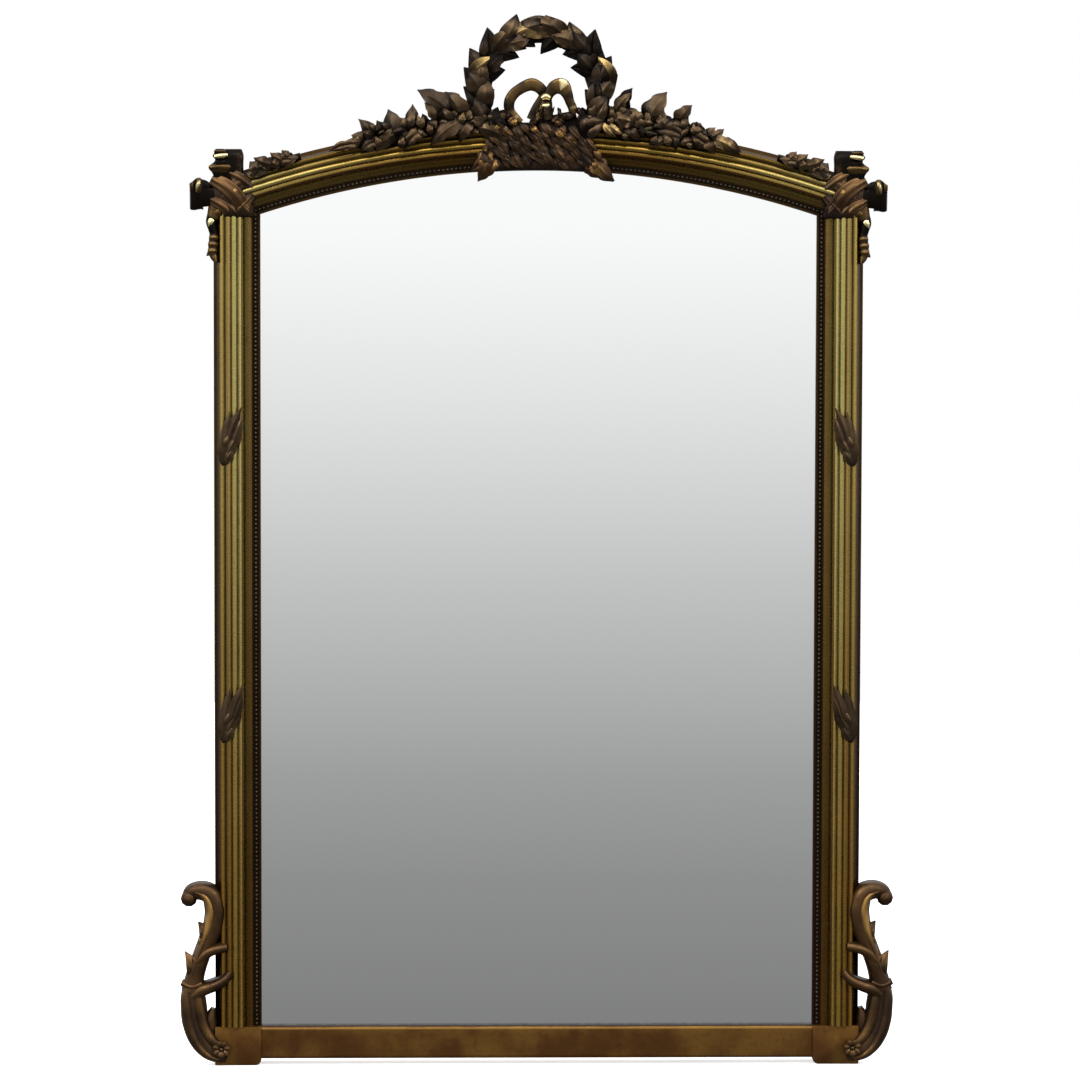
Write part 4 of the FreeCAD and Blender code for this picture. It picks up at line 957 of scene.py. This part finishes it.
# Each leaf: (back from the shoulder, above the arch) of its base and of its tip, and its width.
sprig_leaves = [
    ((83.4, -10), (67.4, 10), 20), ((109.4, -8), (75.4, 14), 20), ((131.4, -10), (103.4, 14), 18),
    ((109.4, -10), (147.4, -6), 18), ((96, -12), (84, 8), 15), ((124, -10), (136, 4), 12),
    ((92, -4), (60, -12), 15), ((118, -12), (98, 2), 14), ((137, -6), (123, 13), 14),
    ((110, -4), (140, -8), 15),
]
sprig = ([], [], [])
chance = random.Random(5)
for (base, up), (tip, tip_up), width in sprig_leaves:
    leaf(sprig, on_arch(shoulder - base, up), on_arch(shoulder - tip, tip_up), width,
         (54, 61 + chance.uniform(-2, 3), 57), bend=0.08, tilt=chance.uniform(-0.45, 0.45),
         keel=chance.choice((1, -1)), teeth=2, body=10, dirt_and_painted_light=np.linspace(0.2, chance.uniform(-0.3, 0.1), 15))
limb(sprig, [(*on_arch(shoulder - a, -4), 44, 11, 12) for a in (150, 120, 95, 70)], 20, dirt_and_painted_light=0.2)
carved("sprig_right", sprig, bronzed, "gilt_carving", "arch_sprig_right")
carved("sprig_left", mirrored(sprig), bronzed, "gilt_carving", "arch_sprig_left")

# ---------------------------------------------------------------- knots and ribbons on the shoulders
# A ribbon is wound over each mitred corner in crossed bands, with one loop standing up, one
# standing out and a twisted tail that hangs by the stile. Folds that face the light are painted
# bright as highlights, and the bands are painted darker where they go under, as shade.


def shoulder_place(out, up):
    """Place by how far it lies out from the side of the frame and up from the shoulder, in mm."""
    return (outer_half * 1000 + out, corner_height * 1000 + up)


def placed(where, rows):
    """Rows of a limb whose first two values, out and up, are turned into a place by where."""
    return [(*where(*row[:2]), *row[2:]) for row in rows]


# Wraps of the knot from the back to the front: (line over it, width, how far it rises, how dull, as
# painted shade).
knot_wraps = [
    ([(4, -30), (-16, -42), (-32, -56)], 19, 10, 0.02), ([(-58, 8), (-34, -12), (-8, -36)], 25, 12, 0.12),
    ([(-66, -22), (-50, -40), (-34, -56)], 18, 9, 0.1), ([(-40, -20), (-52, -38), (-66, -55)], 17, 8, 0.15),
    ([(-18, -32), (-32, -46), (-44, -58)], 13, 8, 0.12), ([(-42, -30), (-54, -45), (-66, -58)], 13, 8, 0.12),
    ([(2, 4), (-22, -10), (-42, -30), (-50, -52)], 27, 16, -0.02),
    ([(-22, 16), (-44, 4), (-68, -14)], 19, 10, 0.1),
]
knot = ([], [], [])
# The body of the knot and the band below it lie darker, painted as shade.
limb(knot, placed(shoulder_place, [(-66, -16, 38, 34, 14), (-34, -22, 42, 66, 18), (-2, -26, 40, 44, 16),
                                   (8, -27, 38, 30, 12)]), 24, edge=0.6, dirt_and_painted_light=0.25)
limb(knot, placed(shoulder_place, [(out, -50, 50, 20, 10) for out in (-20, -36, -52, -66)]), 16, edge=0.7,
     dirt_and_painted_light=0.35)
for line, width, rise, shade in knot_wraps:
    rows = [(x, z, 46 + rise / 2, width, 12, shade) for x, z in line]
    # Each wrap is painted darker at its ends, where it goes under, as shade.
    for last in (0, -1):
        rows[last] = (*line[last], 46, width * 0.8, 12, shade + 0.2)
    limb(knot, placed(shoulder_place, rows), 28, ribs=2, edge=0.6)
# Two small folds of the knot painted bright as highlights.
leaf(knot, shoulder_place(-30, -12), shoulder_place(-42, -24), 9, (62, 65, 62), keel=0.3, dirt_and_painted_light=-0.25)
leaf(knot, shoulder_place(-6, -44), shoulder_place(-15, -58), 12, (54, 57, 54), keel=0.3, dirt_and_painted_light=-0.2)

# Every limb of the loops and the tail: (rows, how many rows it is cut into, its edge, cup and dull).
loop_limbs = [
    # the loop that stands up: its body, the pleats of its face painted light and dark in rows as
    # highlight and shade, and its two folds, painted pale as highlights
    ([(-28, -10, 38, 38, 20), (-30, 10, 40, 40, 20), (-32, 30, 40, 36, 20), (-33, 44, 40, 34, 18),
      (-33, 52, 38, 28, 14)], 32, 0.62, 0.12, 0.36),
    ([(-12, up, 44 + rise, width, 16, shade) for up, rise, width, shade in
      [(0, -2, 22, 0.3), (10, 0, 24, 0.35), (15, 1, 30, 0.2), (19, 4, 37, -0.08), (25, 4, 35, 0.08),
       (28, 1, 26, 0.35), (32, -1, 18, 0.5), (36, 0, 18, 0.5), (38, 3, 22, 0.2), (42, 4, 24, 0.15),
       (44.5, 0, 20, 0.5), (48, 2, 20, 0.1), (52, 0, 14, 0.3)]], 80, 0.8, 0.0, 0.0),
    ([(-3, 39.5, 54, 6, 11), (-10, 40, 56, 7.5, 11), (-18, 41, 55, 7.5, 11), (-25, 42, 53, 5, 10)],
     20, 0.6, 0.0, -0.7),
    ([(3, 21, 53, 7, 11), (-6, 22, 55, 9, 11), (-14, 23, 54, 8, 11), (-22, 24, 52, 4, 9)], 20, 0.4, 0.0, -0.05),
    # the loop that stands out: its body, its pleats painted light and dark in rows as highlight and
    # shade, and a fold painted pale as a highlight
    ([(-12, -25, 38, 30, 18), (6, -25.5, 40, 34, 19), (19, -22.5, 41, 50, 19), (30, -25.5, 40, 45, 17),
      (37.5, -27, 39, 42, 13), (38.5, -27, 38, 40, 10)], 36, 0.6, 0.12, 0.42),
    ([(out, -9, 44 + rise, width, 15, shade) for out, rise, width, shade in
      [(4, -2, 10, 0.4), (12, 0, 14, 0.35), (17, 1, 20, 0.25), (20, 3, 26, 0.15), (26, 3, 27, 0.15),
       (28.5, 0, 24, 0.5), (33, 2, 16, 0.0), (38, -1, 9, 0.2)]], 60, 0.8, 0.0, 0.0),
    ([(21, 0, 54, 6, 9), (23, -5, 55, 9, 10), (25, -12, 55, 8, 10), (27, -19, 53, 4, 9)], 20, 0.5, 0.0, -0.18),
    # the twisted tail, striped with painted highlights, a little further forward where it is bright
    ([(x, z, 44 if shade < 0 else 41, width, 16, shade) for x, z, width, shade in
      [(-6, -30, 22, 0.2), (-4, -44, 24, 0.05), (-1, -56, 22, 0.1), (3, -68, 18, 0.45), (1, -80, 14, 0.4),
       (-1, -88, 14, 0.35), (-1, -94, 16, -0.02), (-1, -99, 16, 0.25), (0, -105, 17, -0.06),
       (0, -110, 16, 0.22), (1, -116, 16, -0.08), (0, -121, 14, 0.2), (-2, -127, 12, 0.0), (-5, -134, 6, 0.2)]],
     90, 0.55, 0.0, 0.0),
]
loops = ([], [], [])
for rows, count, edge, cup, dirt_and_painted_light in loop_limbs:
    limb(loops, placed(shoulder_place, rows), count, cup=cup, edge=edge, dirt_and_painted_light=dirt_and_painted_light)
# A spot on the tail painted white as a highlight.
leaf(loops, shoulder_place(0, -60), shoulder_place(8, -76), 8, (55, 57, 55), keel=0.3, dirt_and_painted_light=-0.8)
leaf(loops, shoulder_place(-2, -112), shoulder_place(11, -124), 9, (50, 53, 50), keel=0.5, dirt_and_painted_light=0.0)
for side, turned in (("right", lambda carving: carving), ("left", mirrored)):
    carved("knot_" + side, turned(knot), streaked, "gilt_carving", "corner_knot_" + side)
    carved("ribbon_loops_" + side, turned(loops), ribbon_gilding, "gilt_carving", "corner_ribbon_" + side)

# ---------------------------------------------------------------- leaf bindings on the stiles
# Four bunches of slanting leaves laid across the reeds, as if tied round the stiles. Carved thin in
# limewood, glued on and bronzed as the foliage of the crest is.

# Each leaf: (out from the glass, above the middle) of its base and of its tip, and its width.
binding_leaves = [
    ((61, -44), (62, 20), 13), ((60, -44), (50, 46), 20), ((56, -38), (30, 53), 22), ((52, -30), (29, 37), 19),
    ((58, -40), (31, 14), 19), ((60, -44), (56, 28), 16), ((62, -38), (64, 0), 9), ((60, -42), (44, -12), 15),
]
for level, middle in (("upper", 1046.0), ("lower", 585.0)):
    binding = ([], [], [])
    chance = random.Random(int(middle))
    for (u0, z0), (u1, z1), width in binding_leaves:
        base, tip = (sight_half * 1000 + u0, middle + z0), (sight_half * 1000 + u1, middle + z1)
        leaf(binding, base, tip, width * 0.92, (56, 60, 59), bend=chance.uniform(-0.02, 0.08),
             tilt=chance.uniform(-0.15, 0.15), keel=1, teeth=3, body=4,
             dirt_and_painted_light=np.linspace(0.15, chance.uniform(-0.12, 0.05), 15))
    leaf(binding, (sight_half * 1000 + 60, middle - 14), (sight_half * 1000 + 51, middle + 8), 8, (62, 64, 62),
         keel=0.4, body=4, dirt_and_painted_light=-0.1)
    for side, turned in (("right", lambda carving: carving), ("left", mirrored)):
        carved("binding_%s_of_leaves_%s" % (level, side), turned(binding), bronzed, "gilt_carving",
               "binding_%s_%s" % (level, side))

# ---------------------------------------------------------------- scroll brackets
# An S scroll of acanthus at the foot of either stile: the curled head leans out, barbed leaf tips
# grow from the stem, two tines lap on the stile, and the foot ends in a flower on the corner block.
# Limewood, pinned to the side of the stile, its gilding worn brown.


def beside_frame(out, z):
    """Place by how far it lies out from the side of the frame and above the shelf, in mm."""
    return (outer_half * 1000 + out, z)


def blossom(carving, place, radius, depth, petals, dirt_and_painted_light):
    """Small open flower facing forward: cupped petals round a button."""
    for number in range(petals):
        angle = 0.3 + 2 * math.pi * number / petals
        out = np.array([math.cos(angle), math.sin(angle)])
        leaf(carving, place + out * radius * 0.1, place + out * radius, radius * 0.95,
             (depth - 1, depth + 2, depth + 4), keel=0.4, body=5, dirt_and_painted_light=dirt_and_painted_light)
    pearl(carving, place, radius * 0.25, depth + 3, dirt_and_painted_light=0.25)


# Every limb of the scroll: (rows, how many rows it is cut into, its edge, cup and dull).
scroll_limbs = [
    # the head, and the ridge along it, painted bright as a highlight
    ([(46, 276, 29, 20, 26), (41, 287, 27, 26, 30), (26, 292, 26, 30, 34), (8, 286, 25, 33, 36),
      (0, 264, 25, 36, 37), (2, 238, 25, 36, 37), (12, 210, 25, 32, 37), (24, 180, 25, 30, 37),
      (33, 152, 25, 31, 37), (39, 124, 25, 36, 37)], 80, 0.52, 0.0, 0.12),
    ([(32, 291, 41, 10, 19, 0.0), (16, 284, 41, 15, 22, -0.2), (7, 264, 41, 20, 23, -0.25),
      (9, 238, 41, 20, 23, -0.22), (18, 210, 41, 18, 23, -0.12), (29, 180, 41, 15, 22, 0.05),
      (38, 150, 41, 13, 21, 0.0)], 50, 0.1, 0.0, 0.0),
    # the foot, and the outer and inner lobes of its leaf, the outer painted darker as shade and the
    # inner lighter as a highlight
    ([(38, 142, 27, 26, 34), (38, 122, 26, 38, 34), (36.5, 100, 25, 43, 34), (34, 74, 25, 44, 34),
      (26, 50, 25, 42, 34), (12, 30, 26, 37, 33), (-4, 19, 27, 32, 32), (-20, 14, 28, 24, 30)],
     60, 0.5, 0.0, 0.25),
    ([(44, 134, 34, 13, 26, 0.15), (47.5, 118, 34, 19, 28, 0.2), (47, 98, 34, 21, 29, 0.2),
      (44, 74, 34, 22, 29, 0.2), (37, 50, 34, 22, 29, 0.15), (24, 28, 34, 19, 28, 0.1),
      (8, 15, 34, 16, 27, 0.1), (-8, 10, 34, 12, 25, 0.1)], 50, 0.4, 0.0, 0.0),
    ([(33, 134, 34, 14, 26, 0.1), (29, 116, 34, 19, 29, 0.05), (26, 96, 34, 22, 30, 0.0),
      (22, 74, 34, 23, 30, -0.05), (13, 53, 34, 22, 30, -0.1), (0, 37, 34, 19, 29, -0.05),
      (-12, 28, 34, 14, 26, 0.0)], 50, 0.4, 0.15, 0.0),
    # the two tines that lap on the stile, the broad leaf inside the foot and the clasp round the stem
    ([(30, 174, 29, 24, 34), (17, 187, 29, 21, 35), (4, 194, 29, 19, 36), (-9, 197, 29, 19, 36),
      (-21, 199, 29, 17, 34)], 30, 0.55, 0.0, 0.08),
    ([(37, 116, 29, 26, 32), (21, 127, 29, 23, 36), (5, 133, 29, 21, 37), (-10, 140, 29, 20, 37),
      (-20, 148, 29, 18, 36), (-27, 157, 29, 17, 34)], 34, 0.55, 0.0, 0.08),
    ([(10, 36, 29, 22, 22), (9, 60, 29, 24, 25), (7, 80, 29, 20, 24), (3, 94, 29, 9, 20)], 24, 0.4, 0.2, 0.15),
    ([(21, 138, 44, 12, 15), (39, 133, 46, 15, 17), (56, 139, 42, 11, 14)], 20, 0.2, 0.0, 0.0),
]
barbs = [((12, 205), (28, 241), 20), ((16, 194), (25, 226), 20), ((34, 140), (50, 191), 22),
         ((30, 148), (40, 182), 20)]
scroll = ([], [], [])
for rows, count, edge, cup, dirt_and_painted_light in scroll_limbs:
    limb(scroll, placed(beside_frame, rows), count, cup=cup, edge=edge, dirt_and_painted_light=dirt_and_painted_light)
pearl(scroll, beside_frame(43, 280), 14, 48, 0.9, dirt_and_painted_light=-0.02)
for base, tip, width in barbs:
    leaf(scroll, beside_frame(*base), beside_frame(*tip), width, (48, 56, 47), bend=-0.12, tilt=0.3, keel=1,
         body=18, dirt_and_painted_light=0.05)
blossom(scroll, np.array(beside_frame(-11, 28.6)), 14.8, 60, 7, -0.02)
for side, turned in (("right", lambda carving: carving), ("left", mirrored)):
    carved("scroll_" + side, turned(scroll), streaked, "gilt_carving", "scroll_bracket_" + side)

# ---------------------------------------------------------------- studio
# Plain pale floor and a screen behind the camera that pales from grey at the floor to white above
# the eye: it is what the glass and the gold reflect. The background that the camera sees is white.

# The camera fitted to the photograph: its place in metres and its turns in degrees.
camera_place, camera_lens = (-0.1775, -7.0, 1.3075), 139.9
looks_down, looks_right, leans = 3.529, 1.483, 0.132
camera_data = bpy.data.cameras.new("Camera")
camera_data.lens = camera_lens
camera = bpy.data.objects.new("Camera", camera_data)
bpy.context.scene.collection.objects.link(camera)
aim = Euler((math.radians(90 - looks_down), 0, math.radians(-looks_right))).to_matrix().to_4x4()
camera.matrix_world = Matrix.Translation(camera_place) @ aim @ Matrix.Rotation(math.radians(leans), 4, "Z")
bpy.context.scene.camera = camera

world = bpy.data.worlds.new("Studio")
bpy.context.scene.world = world
world.use_nodes = True
sky = world.node_tree
sky.nodes.clear()
direction = add(sky, "ShaderNodeTexCoord").outputs["Generated"]
height = add(sky, "ShaderNodeSeparateXYZ", {}, {0: direction}).outputs["Z"]
# The screen's lower and upper edge, as the height of the direction to them, and its greys between.
screen_foot, screen_top = -0.2278, 0.0579
stops = [(0.0, 0.18), (0.18, 0.22), (0.30, 0.28), (0.384, 0.351), (0.549, 0.563), (0.715, 0.819),
         (0.84, 0.985), (0.88, 1.0)]
up_screen = add(sky, "ShaderNodeMapRange", {},
                {0: height, 1: screen_foot, 2: screen_top, 3: 0.0, 4: 1.0}).outputs[0]
ramp = add(sky, "ShaderNodeValToRGB", {}, {0: up_screen})
ramp.color_ramp.elements[0].position = stops[0][0]
ramp.color_ramp.elements[1].position = stops[-1][0]
for position, _ in stops[1:-1]:
    ramp.color_ramp.elements.new(position)
for element, (_, grey) in zip(ramp.color_ramp.elements, stops):
    element.color = (grey, grey, grey, 1)
ramp.color_ramp.interpolation = "LINEAR"
ceiling = add(sky, "ShaderNodeMapRange", {"interpolation_type": "SMOOTHSTEP"},
              {0: height, 1: 0.3, 2: 0.85, 3: 1.06, 4: 2.0}).outputs[0]
screen = add(sky, "ShaderNodeBackground", {}, {"Color": ramp.outputs[0], "Strength": ceiling})
white = add(sky, "ShaderNodeBackground", {}, {"Color": (1, 1, 1, 1), "Strength": 1.0})
seen = add(sky, "ShaderNodeLightPath").outputs["Is Camera Ray"]
shown = add(sky, "ShaderNodeMixShader", {}, {0: seen, 1: screen.outputs[0], 2: white.outputs[0]})
add(sky, "ShaderNodeOutputWorld", {}, {"Surface": shown.outputs[0]})


def lamp(name, place, aim, width, height, power):
    """A soft rectangular lamp at a place, turned to what it lights; sizes in metres, power in watts."""
    data = bpy.data.lights.new(name, "AREA")
    data.shape = "RECTANGLE"
    data.size, data.size_y, data.energy = width, height, power
    made = bpy.data.objects.new(name, data)
    made.location = place
    made.rotation_euler = (Vector(aim) - Vector(place)).to_track_quat("-Z", "Y").to_euler()
    bpy.context.scene.collection.objects.link(made)


lamp("Soft light left", (-1.9, -1.7, 2.6), (0, 0, 1.4), 0.5, 0.8, 26)
lamp("Soft light right", (2.0, -1.7, 2.5), (0, 0, 1.4), 0.5, 0.8, 18)
lamp("Soft light above", (0, -1.2, 3.0), (0, 0, 1.5), 1.8, 0.7, 18)

floor_mesh = bpy.data.meshes.new("Floor")
floor_half = 6
floor_mesh.from_pydata([(x * floor_half, y * floor_half, 0) for x, y in ((-1, -1), (1, -1), (1, 1), (-1, 1))],
                       [], [(0, 1, 2, 3)])
floor = bpy.data.objects.new("Floor", floor_mesh)
bpy.context.scene.collection.objects.link(floor)
floor.location.z = -0.0005
floor_material, tree, shader, place = finish_of("Pale studio floor")
shader.inputs["Base Color"].default_value = (0.82, 0.82, 0.82, 1)
shader.inputs["Roughness"].default_value = 0.9
shader.inputs["Emission Color"].default_value = (1, 1, 1, 1)
ways = add(tree, "ShaderNodeLightPath")
glow = add(tree, "ShaderNodeMath", {"operation": "MULTIPLY"}, {0: ways.outputs["Is Camera Ray"], 1: 0.62})
tree.links.new(glow.outputs[0], shader.inputs["Emission Strength"])
through = add(tree, "ShaderNodeBsdfTransparent").outputs[0]
bent = add(tree, "ShaderNodeMath", {"operation": "MAXIMUM"},
           {0: ways.outputs["Is Glossy Ray"], 1: ways.outputs["Is Transmission Ray"]}).outputs[0]
clear = add(tree, "ShaderNodeMixShader", {}, {0: bent, 1: shader.outputs[0], 2: through})
tree.links.new(clear.outputs[0], tree.nodes["Material Output"].inputs["Surface"])
floor_mesh.materials.append(floor_material)

bpy.context.scene.view_settings.view_transform = "Standard"
